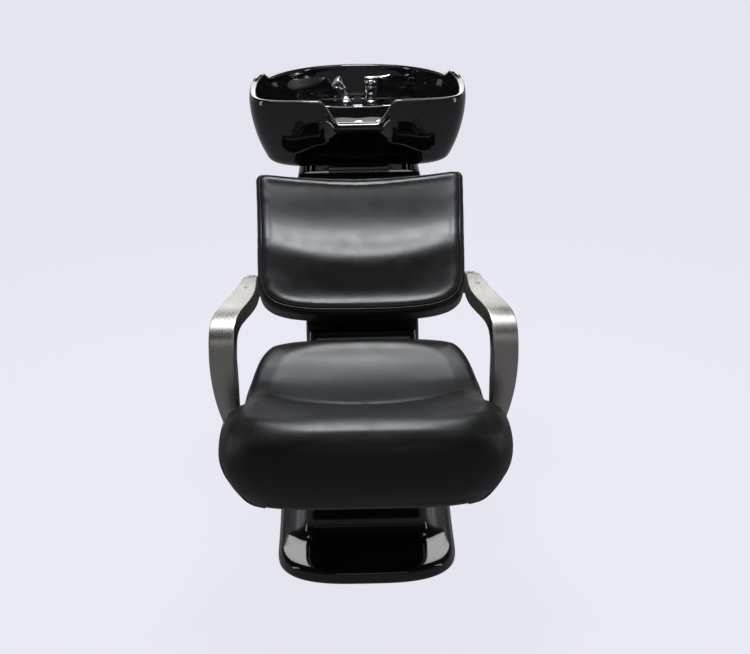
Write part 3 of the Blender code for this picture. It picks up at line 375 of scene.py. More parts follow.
# ====================================================================== materials
class Graph:
    """A short way to build one material's nodes."""

    def __init__(self, name):
        self.mat = bpy.data.materials.new(name)
        self.mat.use_nodes = True
        self.tree = self.mat.node_tree
        self.shader = self.tree.nodes["Principled BSDF"]
        self.place = self.add("ShaderNodeTexCoord").outputs["Object"]

    def add(self, kind, **values):
        node = self.tree.nodes.new(kind)
        for key, value in values.items():
            setattr(node, key, value)
        return node

    def link(self, a, b):
        self.tree.links.new(a, b)
        return b

    def scaled(self, factor, source=None):
        node = self.add("ShaderNodeMapping")
        self.link(source or self.place, node.inputs["Vector"])
        node.inputs["Scale"].default_value = factor if isinstance(factor, tuple) else (factor,) * 3
        return node.outputs["Vector"]

    def noise(self, scale, detail=3.0, rough=0.5, vector=None, distortion=0.0):
        node = self.add("ShaderNodeTexNoise")
        self.link(vector or self.place, node.inputs["Vector"])
        node.inputs["Scale"].default_value = scale
        node.inputs["Detail"].default_value = detail
        node.inputs["Roughness"].default_value = rough
        node.inputs["Distortion"].default_value = distortion
        return node.outputs["Fac"]

    def voronoi(self, scale, feature="F1", vector=None, out="Distance", random=1.0):
        node = self.add("ShaderNodeTexVoronoi", feature=feature)
        self.link(vector or self.place, node.inputs["Vector"])
        node.inputs["Scale"].default_value = scale
        node.inputs["Randomness"].default_value = random
        return node.outputs[out]

    def between(self, source, low, high, start=0.3, stop=0.7):
        node = self.add("ShaderNodeMapRange")
        self.link(source, node.inputs["Value"])
        for key, value in (("From Min", start), ("From Max", stop), ("To Min", low), ("To Max", high)):
            node.inputs[key].default_value = value
        return node.outputs["Result"]

    def ramp(self, source, *stops):
        node = self.add("ShaderNodeValToRGB")
        self.link(source, node.inputs["Fac"])
        line = node.color_ramp
        line.elements[0].position, line.elements[0].color = stops[0][0], (*stops[0][1], 1)
        line.elements[1].position, line.elements[1].color = stops[-1][0], (*stops[-1][1], 1)
        for at, color in stops[1:-1]:
            line.elements.new(at).color = (*color, 1)
        return node.outputs["Color"]

    def math(self, how, a, b):
        node = self.add("ShaderNodeMath", operation=how)
        for k, value in enumerate((a, b)):
            if isinstance(value, (int, float)):
                node.inputs[k].default_value = value
            else:
                self.link(value, node.inputs[k])
        return node.outputs["Value"]

    def bump(self, height, strength, distance, before=None):
        node = self.add("ShaderNodeBump")
        self.link(height, node.inputs["Height"])
        node.inputs["Strength"].default_value = strength
        node.inputs["Distance"].default_value = distance
        if before is not None:
            self.link(before, node.inputs["Normal"])
        return node.outputs["Normal"]

    def set(self, **values):
        for key, value in values.items():
            socket = self.shader.inputs[key.replace("_", " ")]
            if hasattr(value, "is_linked") and hasattr(value, "node"):
                self.link(value, socket)
            else:
                socket.default_value = (*value, 1) if isinstance(value, tuple) and len(value) == 3 else value
        return self


def leather(name, base, rough, grain=1.0, fold=1.0, gleam=0.36):
    g = Graph(name)
    warp = g.add("ShaderNodeVectorMath", operation="ADD")
    soft = g.add("ShaderNodeTexNoise")
    g.link(g.place, soft.inputs["Vector"])
    soft.inputs["Scale"].default_value = 260.0
    scale = g.add("ShaderNodeVectorMath", operation="SCALE")
    g.link(soft.outputs["Color"], scale.inputs[0])
    scale.inputs["Scale"].default_value = 0.0011
    g.link(g.place, warp.inputs[0])
    g.link(scale.outputs[0], warp.inputs[1])
    pebbles = g.voronoi(820.0, "F1", warp.outputs[0])
    cells = g.voronoi(820.0, "DISTANCE_TO_EDGE", warp.outputs[0])
    fine = g.noise(2400.0, 2.0)
    slack = g.noise(13.0, 2.0, 0.45)
    patch = g.noise(5.0, 3.0)
    tone = tuple(c * 0.80 for c in base), base, tuple(c * 1.35 for c in base)
    mixed = g.math("ADD", g.math("MULTIPLY", patch, 0.75),
                   g.math("MULTIPLY", fine, 0.25))
    color = g.ramp(mixed, (0.30, tone[0]), (0.52, tone[1]), (0.72, tone[2]))
    normal = g.bump(slack, 0.10 * fold, 0.010)
    normal = g.bump(g.math("MULTIPLY", g.between(cells, 0.0, 1.0, 0.0, 0.22), pebbles), 0.16 * grain, 0.0009, normal)
    normal = g.bump(fine, 0.10 * grain, 0.0003, normal)
    g.set(Base_Color=color, Roughness=g.between(g.noise(30.0, 3.0), rough - 0.035, rough + 0.05),
          Normal=normal, Specular_IOR_Level=gleam)
    return g.mat


def gloss(name, base, rough, wave, wave_scale, peel=0.0, coat=0.0):
    g = Graph(name)
    normal = g.bump(g.noise(wave_scale, 1.5, 0.4), wave, 0.01)
    if peel:
        normal = g.bump(g.noise(420.0, 2.0, 0.5), peel, 0.0005, normal)
    dust = g.noise(900.0, 2.0)
    g.set(Base_Color=g.ramp(g.noise(9.0, 3.0), (0.35, tuple(c * 0.8 for c in base)), (0.65, tuple(c * 1.25 for c in base))),
          Roughness=g.math("ADD", g.between(g.noise(16.0, 4.0), rough * 0.8, rough * 1.35),
                           g.between(dust, 0.0, 0.012)),
          Normal=normal, Specular_IOR_Level=0.5, Coat_Weight=coat, Coat_Roughness=0.02)
    return g.mat


def brushed():
    """Steel brushed along the band; the pieces carry u across and v along, in metres."""
    g = Graph("look_brushed_steel")
    uv = g.add("ShaderNodeUVMap", uv_map="band").outputs["UV"]
    lines = g.noise(1.0, 4.0, 0.62, g.scaled((1900.0, 9.0, 1.0), uv))
    longer = g.noise(1.0, 3.0, 0.55, g.scaled((520.0, 2.2, 1.0), uv))
    smear = g.noise(11.0, 4.0, 0.5)
    both = g.math("ADD", g.math("MULTIPLY", lines, 0.55), g.math("MULTIPLY", longer, 0.45))
    color = g.ramp(both, (0.32, (0.37, 0.348, 0.322)), (0.52, (0.420, 0.399, 0.372)), (0.72, (0.470, 0.452, 0.425)))
    rough = g.math("ADD", g.between(both, 0.21, 0.34, 0.35, 0.65), g.between(smear, -0.02, 0.05, 0.35, 0.65))
    tangent = g.add("ShaderNodeTangent", direction_type="UV_MAP", uv_map="band").outputs["Tangent"]
    g.set(Base_Color=color, Metallic=1.0, Roughness=rough, Anisotropic=0.55, Anisotropic_Rotation=0.25,
          Normal=g.bump(both, 0.10, 0.0004))
    g.link(tangent, g.shader.inputs["Tangent"])
    return g.mat


def metal(name, base, rough, speck=0.0, spangle=0.0, wave=0.0):
    g = Graph(name)
    patch = g.noise(22.0, 4.0)
    source = g.voronoi(160.0, out="Color") if spangle else patch
    if spangle:
        source = g.math("ADD", g.math("MULTIPLY", source, spangle), g.math("MULTIPLY", patch, 1 - spangle))
    normal = g.bump(g.noise(700.0, 3.0), 0.05 + speck, 0.0004)
    if wave:
        normal = g.bump(g.noise(60.0, 1.0), wave, 0.003, normal)
    g.set(Base_Color=g.ramp(source, (0.28, tuple(c * 0.84 for c in base)), (0.72, tuple(min(1, c * 1.12) for c in base))),
          Metallic=1.0, Roughness=g.between(source, rough * 0.75, rough * 1.35), Normal=normal)
    return g.mat


def dull(name, base, rough, grit, scale, depth):
    g = Graph(name)
    patch = g.noise(14.0, 4.0)
    g.set(Base_Color=g.ramp(patch, (0.3, tuple(c * 0.78 for c in base)), (0.7, tuple(min(1, c * 1.25) for c in base))),
          Roughness=g.between(g.noise(60.0, 3.0), rough - 0.06, rough + 0.06),
          Normal=g.bump(g.noise(scale, 3.0, 0.6), grit, depth), Specular_IOR_Level=0.45)
    return g.mat


def plywood():
    g = Graph("look_plywood")
    split = g.add("ShaderNodeSeparateXYZ")
    g.link(g.place, split.inputs[0])
    grain = g.noise(1.0, 6.0, 0.6, g.scaled((9.0, 130.0, 60.0)), 0.6)
    rings = g.add("ShaderNodeTexWave", wave_type="BANDS", bands_direction="Y")
    g.link(g.scaled((1.0, 1.0, 1.0)), rings.inputs["Vector"])
    rings.inputs["Scale"].default_value = 28.0
    rings.inputs["Distortion"].default_value = 7.0
    rings.inputs["Detail"].default_value = 3.0
    both = g.math("ADD", g.math("MULTIPLY", grain, 0.6), g.math("MULTIPLY", rings.outputs["Fac"], 0.4))
    color = g.ramp(both, (0.25, (0.30, 0.19, 0.10)), (0.5, (0.46, 0.32, 0.19)), (0.8, (0.60, 0.46, 0.30)))
    g.set(Base_Color=color, Roughness=g.between(grain, 0.55, 0.75), Normal=g.bump(both, 0.25, 0.0006),
          Specular_IOR_Level=0.35)
    return g.mat


LOOKS = {
    "moulded_black": gloss("look_moulded_black", (0.0065, 0.0065, 0.0072), 0.075, 0.020, 9.0, 0.018, 0.25),
    "leather_black": leather("look_leather_black", (0.0085, 0.0086, 0.0090), 0.33),
    "brushed_steel": brushed(),
    "chrome": metal("look_chrome", (0.80, 0.81, 0.82), 0.055, 0.0, 0.0, 0.02),
    "glazed_black": gloss("look_glazed_black", (0.0035, 0.0035, 0.0040), 0.040, 0.030, 12.0, 0.006, 0.5),
    "painted_steel": dull("look_painted_steel", (0.030, 0.030, 0.033), 0.46, 0.30, 1500.0, 0.0004),
    "zinc_steel": metal("look_zinc_steel", (0.46, 0.47, 0.49), 0.36, 0.06, 0.45),
    "plywood": plywood(),
    "rubber_black": dull("look_rubber_black", (0.016, 0.016, 0.016), 0.80, 0.35, 900.0, 0.0005),
    "plastic_grey": dull("look_plastic_grey", (0.26, 0.26, 0.27), 0.42, 0.12, 1100.0, 0.0003),
    "brass": metal("look_brass", (0.66, 0.47, 0.21), 0.30, 0.03, 0.0),
}
LOOKS["piping"] = leather("look_piping", (0.0100, 0.0100, 0.0105), 0.33, 0.7, 0.3)
LOOKS["thread"] = dull("look_thread", (0.020, 0.020, 0.021), 0.62, 0.5, 5200.0, 0.0004)
LOOKS["black_line"] = leather("look_boxing", (0.0120, 0.0121, 0.0126), 0.36)

for name, obj in NODES.items():
    for slot in obj.material_slots:
        own = slot.material.name.split(".")[0] if slot.material else ""
        if own in LOOKS:
            slot.material = LOOKS[own]


def soft_edge(name, width=0.0008, segments=3):
    """A small rounded edge on a CAD piece that is shown as it is."""
    obj = NODES[name]
    mod = obj.modifiers.new("soft_edge", "BEVEL")
    mod.width = width
    mod.segments = segments
    mod.limit_method = "ANGLE"
    mod.angle_limit = math.radians(40)
    return obj


# ====================================================================== pedestal
FOOT_HW, FOOT_HW_REAR, FOOT_Y1 = 0.2015, 0.2085, 0.985
COL_Y0, COL_HW, REAR_Y, WALL, TOWER_TOP = 0.178, 0.1425, 0.965, 0.005, 0.790
RECLINE = math.radians(44.0)
BU = np.array([0.0, math.sin(RECLINE), math.cos(RECLINE)])
BN = np.array([0.0, -math.cos(RECLINE), math.sin(RECLINE)])
B0 = np.array([0.0, 0.2966, 0.5098])
BACK_T, TOWER_W = 0.055, -0.036
K_FRONT, K_SIDE, K_REAR = 22, 9, 9


def ring_outline(y0, y1, hw, rx, ry, power, hw1=None, r1=0.03):
    hw1 = hw if hw1 is None else hw1
    half = []
    for i in range(K_FRONT):
        t = (math.pi / 2) * i / (K_FRONT - 1)
        half.append((hw - rx + rx * math.sin(t) ** (2 / power),
                     y0 + ry - ry * max(0.0, math.cos(t)) ** (2 / power)))
    y_side = y0 + ry
    for j in range(K_SIDE):
        f = 0.06 + 0.88 * j / (K_SIDE - 1)
        y = y_side + (y1 - r1 - y_side) * f
        half.append((hw + (hw1 - hw) * float(smooth01(f * 1.6)), y))
    for i in range(K_REAR):
        t = (math.pi / 2) * i / (K_REAR - 1)
        half.append((hw1 - r1 + r1 * math.cos(t), y1 - r1 + r1 * math.sin(t)))
    return half + [(-x, y) for x, y in reversed(half)]


def foot_ring(z, inset=0.0):
    return [(x, y, z) for x, y in ring_outline(
        inset - 0.0120, FOOT_Y1 - inset, FOOT_HW - inset, FOOT_HW - inset - 0.012, 0.165, 2.8,
        FOOT_HW_REAR - inset, 0.055)]


def column_ring(z, outset=0.0, rear=None, front=0.0):
    r = max(0.012, 0.026 + outset)
    rear = min(outset, 0.010) if rear is None else rear
    return [(x, y, z) for x, y in ring_outline(
        COL_Y0 - outset + front, REAR_Y + rear, COL_HW + outset, r, r, 2.0,
        COL_HW + outset, min(r, 0.026))]


def tower_front(z):
    line = B0 + BN * TOWER_W
    sloped = line[1] + (z - line[2]) * BU[1] / BU[2]
    return sloped if z > 0.487 else max(0.302, min(sloped, 0.320)) if z > 0.46 else 0.302


def tower_ring(z, outset=0.0, front=None):
    hw = float(curve_at([(0.25, 0.1365), (0.45, 0.130), (0.55, 0.132), (0.68, 0.143), (0.76, 0.150)], z))
    r = max(0.010, 0.026 + outset)
    y0 = tower_front(z) if front is None else front
    return [(x, y, z) for x, y in ring_outline(
        y0 - outset, REAR_Y + min(outset, 0.0), hw + outset, r, r, 2.0, hw + outset, r)]


def blend_ring(a, b, f, z):
    return [(p[0] + (q[0] - p[0]) * f, p[1] + (q[1] - p[1]) * f, z) for p, q in zip(a, b)]


t = WALL
OUTER = [
    foot_ring(0.003, 0.003), foot_ring(0.007), foot_ring(0.021), foot_ring(0.0275, 0.002),
    foot_ring(0.0320, 0.0065), foot_ring(0.0338, 0.014),
    blend_ring(foot_ring(0, 0.014), column_ring(0, 0.034), 0.55, 0.0345),
    column_ring(0.0360, 0.034), column_ring(0.0410, 0.020), column_ring(0.0520, 0.008),
    column_ring(0.0680, 0.001, 0.0), column_ring(0.0900), column_ring(0.1640), column_ring(0.2380),
    column_ring(0.2465, -0.002, 0.0, 0.001), column_ring(0.2495, -0.004, 0.0, 0.005),
    tower_ring(0.2500, 0.001), tower_ring(0.2580), tower_ring(0.3500), tower_ring(0.4550),
    tower_ring(0.4870), tower_ring(0.5050), tower_ring(0.6000), tower_ring(0.7000),
    tower_ring(0.7780), tower_ring(0.7870, -0.003), tower_ring(TOWER_TOP, -0.009),
]
INNER = [
    foot_ring(0.003, 0.010), foot_ring(0.0200, 0.010), foot_ring(0.0270, 0.013),
    foot_ring(0.0288, 0.020),
    blend_ring(foot_ring(0, 0.020), column_ring(0, 0.030, -t), 0.55, 0.0294),
    column_ring(0.0306, 0.030, -t), column_ring(0.0370, 0.015, -t), column_ring(0.0500, 0.003, -t),
    column_ring(0.0690, -0.004, -t), column_ring(0.0900, -t), column_ring(0.2340, -t),
    column_ring(0.2420, -t - 0.002, -t), column_ring(0.2444, -t - 0.004, -t, 0.004),
    tower_ring(0.2450, -t + 0.001, 0.303), tower_ring(0.2550, -t), tower_ring(0.4570, -t),
    tower_ring(0.4900, -t * 1.3), tower_ring(0.5070, -t * 1.3), tower_ring(0.6000, -t * 1.3),
    tower_ring(0.7000, -t * 1.3), tower_ring(0.7750, -t * 1.3),
    tower_ring(0.7825, -t * 1.3 - 0.003), tower_ring(TOWER_TOP - t, -t * 1.3 - 0.009),
]
steps = [4, 3, 4, 4, 4, 4, 3, 4, 4, 4, 3, 2, 2, 4, 3, 2, 3, 2, 2, 3, 3, 3, 3, 3, 4, 4]
outer_rows, _ = spline_rows(OUTER, steps)
outer_rows[:, :, 2] = np.minimum(outer_rows[:, :, 2], TOWER_TOP)
rows = np.concatenate([np.array(INNER)[::-1], outer_rows])
shell = piece("pedestal_shell_skin", *rows_geo(shifted(rows)), LOOKS["moulded_black"])
cut(shell, helper("cut_top", *(lambda v, f: (shifted(v), f))(*box_geo(-0.118, 0.118, 0.650, 0.940, 0.77, 0.81))), "top")
cut(shell, helper("cut_rear", *(lambda v, f: (shifted(v), f))(*box_geo(-0.085, 0.085, 0.92, 1.02, 0.12, 0.58))), "rear")
apply_modifiers(shell)
put(shell, "pedestal", "moulded_black", "pedestal_shell")


def pan_outline(inset=0.0):
    return ring_outline(-0.165 + inset, 0.296 - inset, 0.1535 - inset, 0.050, 0.050, 2.2,
                        0.1535 - inset, 0.012)


PAN = (0.2503, 0.2603)
pan_rows = [[(x, y, z) for x, y in pan_outline(i)] for z, i in
            ((PAN[0], 0.009), (PAN[0], 0.0050), (PAN[0] + 0.0018, 0.0014), (PAN[0] + 0.005, 0.0),
             (PAN[1] - 0.0018, 0.0014), (PAN[1], 0.005), (PAN[1], 0.009))]
pan_rows, _ = spline_rows(pan_rows, [2, 4, 4, 4, 4, 2])
pan = piece("seat_underpan_skin", *rows_geo(shifted(pan_rows)), LOOKS["moulded_black"])
put(pan, "pedestal", "moulded_black", "seat_underpan")

# ====================================================================== seat
SEAT_Z = 0.300
SEAT_SIDE = [(-0.290, 0.0), (-0.2885, 0.083), (-0.284, 0.145), (-0.273, 0.2015), (-0.256, 0.243),
             (-0.230, 0.276), (-0.200, 0.2915), (-0.165, 0.2975), (-0.125, 0.2935), (-0.095, 0.2800),
             (-0.068, 0.2635), (-0.045, 0.2600), (-0.020, 0.2598), (0.030, 0.2605), (0.080, 0.2595),
             (0.104, 0.2560), (0.130, 0.2500), (0.155, 0.2445), (0.180, 0.2360), (0.207, 0.2220),
             (0.232, 0.1960), (0.248, 0.1630), (0.256, 0.1190), (0.260, 0.060), (0.261, 0.0)]
SEAT_TOP = [(-0.292, 0.385), (-0.275, 0.432), (-0.240, 0.462), (-0.195, 0.471), (-0.130, 0.462),
            (-0.065, 0.441), (-0.025, 0.434), (0.040, 0.440), (0.120, 0.460), (0.190, 0.486),
            (0.235, 0.500), (0.263, 0.500)]
SEAT_DROP = 0.012
SEAT_N = 440


def seat_height(x, y):
    """Top of the cushion: the valley behind the front roll bends back towards the sides."""
    x, y = np.asarray(x, float), np.asarray(y, float)
    bend = 0.085 * np.minimum(1.0, (np.abs(x) / 0.225)) ** 2
    shift = bend * np.exp(-((y - 0.010) / 0.105) ** 2)
    z = curve_at(SEAT_TOP, y - shift)
    valley = -0.028 + 0.085 * np.minimum(1.0, (np.abs(x) / 0.225)) ** 2 * 0.9
    z = z - 0.0045 * np.exp(-((y - valley) / 0.011) ** 2) * (1 - smooth01((np.abs(x) - 0.13) / 0.09))
    z = z - 0.0060 * np.exp(-(((y - 0.090) / 0.085) ** 2 + (x / 0.125) ** 2))
    z = z - 0.0060 * smooth01((np.abs(x) - 0.10) / 0.16) * smooth01((-0.08 - y) / 0.08)
    return z


outline = smooth_outline([(w, y) for y, w in SEAT_SIDE], SEAT_N)
ox, oy = outline[:, 0], outline[:, 1]
scx, scy = 0.0, -0.02


def seat_ring(scale, drop=0.0, top=True):
    x, y = scx + (ox - scx) * scale, scy + (oy - scy) * scale
    z = seat_height(x, y) - drop if top else np.full(SEAT_N, SEAT_Z + drop)
    return np.stack([x, y, z], axis=1)


def seat_side(f, inset_front, inset, flat=False):
    d = np.stack([ox - scx, oy - scy], axis=1)
    d /= np.linalg.norm(d, axis=1)[:, None]
    front = smooth01((-0.10 - oy) / 0.12)
    amount = inset + (inset_front - inset) * front
    top = seat_height(ox * 0.93, np.clip(oy, -0.235, 0.22))
    base = SEAT_Z if flat else SEAT_Z - SEAT_DROP * smooth01((-0.205 - oy) / 0.045)
    return np.stack([ox - d[:, 0] * amount, oy - d[:, 1] * amount, base + (top - base) * f], axis=1)


SEAT_F = [0.0, 0.14, 0.32, 0.50, 0.68, 0.83, 0.94]
control = [seat_ring(0.04, 0.0, False), seat_ring(0.45, 0.0, False), seat_side(0.0, 0.086, 0.030, True),
           seat_side(0.0, 0.046, 0.016),
           seat_side(0.14, 0.022, 0.006), seat_side(0.32, 0.006, 0.001), seat_side(0.50, 0.0, 0.0),
           seat_side(0.68, 0.004, 0.001), seat_side(0.83, 0.015, 0.006), seat_side(0.94, 0.034, 0.017),
           seat_ring(0.82), seat_ring(0.74), seat_ring(0.66), seat_ring(0.57), seat_ring(0.48),
           seat_ring(0.39), seat_ring(0.30), seat_ring(0.21), seat_ring(0.14), seat_ring(0.07), seat_ring(0.03)]
seat_rows, seat_at = spline_rows(control, [2, 4, 5, 10, 9, 8, 8, 9, 9, 7, 4, 4, 4, 4, 4, 4, 3, 3, 3, 2])
seat_rows[:, :, 2] = np.maximum(seat_rows[:, :, 2], np.where(seat_rows[:, :, 1] > -0.200, SEAT_Z, SEAT_Z - SEAT_DROP))


def seat_on(f, i):
    """Point of the side at height share f, on outline point i."""
    row = np.interp(f, SEAT_F, seat_at[3:10])
    a = int(math.floor(row))
    s = row - a
    return seat_rows[a, i] * (1 - s) + seat_rows[min(a + 1, len(seat_rows) - 1), i] * s


side_index = [i for i in range(SEAT_N) if oy[i] > -0.262 or False]
# from the front corner on the right, round the rear, to the front corner on the left
side_index = sorted(side_index)
first_gap = max(range(len(side_index)), key=lambda k: (side_index[k] - side_index[k - 1]) % SEAT_N)
side_index = side_index[first_gap:] + side_index[:first_gap]
seam_line = []
for i in side_index:
    f = 0.855 * (1 - float(smooth01((-0.135 - oy[i]) / 0.125)))
    seam_line.append(seat_on(max(0.02, f), i))
seam_line = even(seam_line, 0.0020)
low_line = even(np.array([seat_on(0.10, i) for i in range(SEAT_N)]), 0.0025, closed=True)

seat = piece("seat_cushion_cover", *rows_geo(seat_rows), LOOKS["leather_black"])
co, no = coords_of(seat), normals_of(seat)
gap = near_line(co, seam_line, 0.03)
low = near_line(co, low_line, 0.02)
above = np.clip((co[:, 2] - SEAT_Z) / 0.02, 0, 1)
move = -0.0026 * np.exp(-(gap / 0.0042) ** 2) + 0.0016 * np.exp(-((gap - 0.014) / 0.009) ** 2)
move += -0.0014 * np.exp(-(low / 0.0035) ** 2)
# the skin draws a little towards the seams in short soft pleats
phase = np.arctan2(co[:, 1] - scy, co[:, 0]) * 31.0
move += 0.00035 * np.sin(phase + 2.0 * np.sin(phase * 0.37)) * np.exp(-((gap - 0.009) / 0.010) ** 2)
move += 0.0007 * ripple(co, 26.0, 4) * above
move *= above
set_coords(seat, co + no * move[:, None])
seat_pipe = piece("seat_piping", *tube_along(seam_line, 0.0022, 10), LOOKS["piping"])
for obj in (seat, seat_pipe):
    set_coords(obj, shifted(coords_of(obj)))
put(seat, "pedestal", "leather_black", "seat_cushion")
put(seat_pipe, "pedestal", "leather_black")

# ====================================================================== backrest
BACK_SIDE = [(0.0, 0.000), (0.080, 0.0015), (0.137, 0.0055), (0.176, 0.0125), (0.206, 0.0245),
             (0.2245, 0.0420), (0.2340, 0.0680), (0.2375, 0.1150), (0.2397, 0.210), (0.2420, 0.285),
             (0.2438, 0.346), (0.2435, 0.3615), (0.2380, 0.3695), (0.2270, 0.3715), (0.182, 0.3680),
             (0.120, 0.3640), (0.060, 0.3615), (0.0, 0.3605)]
BACK_N = 460
bcx, bcv = 0.0, 0.185


def on_back(x, v, w):
    x, v, w = (np.asarray(a, float) for a in (x, v, w))
    return (np.stack([x, np.zeros_like(x), np.zeros_like(x)], axis=-1) + B0
            + v[..., None] * BU + w[..., None] * BN)


def back_face(x, v):
    across = np.minimum(1.0, np.abs(x) / 0.24)
    lumbar = 0.013 * np.exp(-((v - 0.130 - 0.055 * across**2) / 0.046) ** 2) * (1 - 0.45 * across**2)
    hollow = -0.006 * np.exp(-((v - 0.240) / 0.060) ** 2) * (1 - 0.6 * across**2)
    lower = -0.007 * np.exp(-((v - 0.050) / 0.035) ** 2) * (1 - across**2)
    wings = 0.007 * across**2
    return BACK_T + lumbar + hollow + lower + wings


back_line = smooth_outline(BACK_SIDE, BACK_N)
bx, bv = back_line[:, 0], back_line[:, 1]


def back_ring(scale, height=None):
    x, v = bcx + (bx - bcx) * scale, bcv + (bv - bcv) * scale
    return on_back(x, v, back_face(x, v) if height is None else np.full(BACK_N, height))


def back_side(inset, f):
    d = np.stack([bx, bv - bcv], axis=1)
    d /= np.linalg.norm(d, axis=1)[:, None]
    x, v = bx - d[:, 0] * inset, bv - d[:, 1] * inset
    return on_back(x, v, f * back_face(x, v))


BACK_F = [0.0, 0.07, 0.30, 0.62, 0.82, 0.94, 1.0]
control = [back_ring(0.03, 0.0), back_ring(0.5, 0.0), back_side(0.006, 0.0), back_side(0.001, 0.07),
           back_side(0.0, 0.30), back_side(0.0, 0.62), back_side(0.003, 0.82), back_side(0.010, 0.94),
           back_side(0.024, 1.0), back_ring(0.84), back_ring(0.76), back_ring(0.68), back_ring(0.60),
           back_ring(0.52), back_ring(0.44), back_ring(0.36), back_ring(0.28), back_ring(0.20),
           back_ring(0.13), back_ring(0.07), back_ring(0.03)]
back_rows, back_at = spline_rows(control, [2, 4, 4, 6, 6, 6, 6, 8, 6, 4, 4, 4, 4, 4, 4, 4, 3, 3, 2, 2])
face_seam = back_rows[back_at[7]]
rear_seam = back_rows[back_at[3]]
back = piece("backrest_cushion_cover", *rows_geo(back_rows), LOOKS["leather_black"])
co, no = coords_of(back), normals_of(back)
d_face = near_line(co, even(face_seam, 0.0020, True), 0.03)
d_rear = near_line(co, even(rear_seam, 0.0020, True), 0.02)
free = np.clip(((co - B0) @ BN) / 0.006, 0, 1)
move = -0.0022 * np.exp(-(d_face / 0.0032) ** 2) + 0.0013 * np.exp(-((d_face - 0.013) / 0.008) ** 2)
move += -0.0013 * np.exp(-(d_rear / 0.0030) ** 2)
run = np.arctan2((co - B0) @ BU - bcv, co[:, 0]) * 29.0
move += 0.00030 * np.sin(run + 1.7 * np.sin(run * 0.41)) * np.exp(-((d_face - 0.009) / 0.010) ** 2)
move += 0.0006 * ripple(co, 24.0, 9)
move *= free
set_coords(back, co + no * move[:, None])
band = piece("backrest_piping", *tube_along(even(face_seam, 0.0030, True) - 0.0006 * BN, 0.0017, 8, True),
             LOOKS["piping"])


def beside(line, normals, centre, distance):
    """A line moved sideways in the surface, towards the centre."""
    line = np.asarray(line, float)
    along_line = np.roll(line, -1, 0) - np.roll(line, 1, 0)
    side = np.cross(along_line, normals)
    side /= np.linalg.norm(side, axis=1)[:, None]
    toward = np.sign(np.sum(side * (centre - line), axis=1))
    return line + side * toward[:, None] * distance


back_tree = KDTree(len(co))
moved = coords_of(back)
for i, p in enumerate(moved):
    back_tree.insert(p, i)
back_tree.balance()


def onto(line, tree, surface, normals, lift):
    """A line laid on the nearest surface points, and the outward direction there."""
    places, outs = [], []
    for p in line:
        near = tree.find_n(p, 6)
        weight = np.array([1.0 / (d + 1e-5) for _, _, d in near])
        weight /= weight.sum()
        n = sum(w * normals[i] for w, (_, i, _) in zip(weight, near))
        n /= np.linalg.norm(n)
        q = sum(w * surface[i] for w, (_, i, _) in zip(weight, near))
        places.append(p + n * (np.dot(q - p, n) + lift))
        outs.append(n)
    return np.array(places), np.array(outs)


back_normals = normals_of(back)
stitch_line = even(face_seam, 0.0025, True)
_, outs = onto(stitch_line, back_tree, moved, back_normals, 0.0)
stitch_line = beside(stitch_line, outs, B0 + BU * bcv + BN * 0.06, 0.0058)
stitch_line, outs = onto(stitch_line, back_tree, moved, back_normals, 0.0001)
threads = piece("backrest_stitches", *stitch_geo(stitch_line, outs, 0.0052, 0.0036, 0.00042), LOOKS["thread"])
for obj in (back, band, threads):
    set_coords(obj, shifted(coords_of(obj)))
put(back, "pedestal", "leather_black", "backrest_cushion")
put(band, "pedestal", "leather_black")
put(threads, "pedestal", "leather_black")

# ====================================================================== arms
ARM_T = 0.0100
ARM_PATH = [
    (0.4250, 0.5865, 0.2555, 0.0250), (0.3980, 0.5866, 0.2555, 0.0250),
    (0.3760, 0.5895, 0.2550, 0.0255), (0.3530, 0.5985, 0.2545, 0.0265),
    (0.3280, 0.6095, 0.2535, 0.0280), (0.3000, 0.6170, 0.2525, 0.0310),
    (0.2500, 0.6200, 0.2535, 0.0370), (0.1900, 0.6205, 0.2570, 0.0460),
    (0.1400, 0.6200, 0.2630, 0.0520), (0.0950, 0.6195, 0.2710, 0.0540),
    (0.0550, 0.6180, 0.2800, 0.0540), (0.0200, 0.6130, 0.2885, 0.0535),
    (-0.0080, 0.6020, 0.2935, 0.0530), (-0.0270, 0.5840, 0.2955, 0.0525),
    (-0.0370, 0.5600, 0.2960, 0.0520), (-0.0400, 0.5320, 0.2960, 0.0515),
    (-0.0395, 0.5000, 0.2945, 0.0505), (-0.0365, 0.4650, 0.2915, 0.0480),
    (-0.0310, 0.4300, 0.2870, 0.0430), (-0.0220, 0.3950, 0.2815, 0.0360),
    (-0.0100, 0.3600, 0.2775, 0.0300), (0.0040, 0.3280, 0.2760, 0.0275),
    (0.0200, 0.3040, 0.2760, 0.0270), (0.0400, 0.2925, 0.2760, 0.0270),
    (0.0620, 0.2899, 0.2760, 0.0270), (0.0900, 0.2899, 0.2760, 0.0270),
]


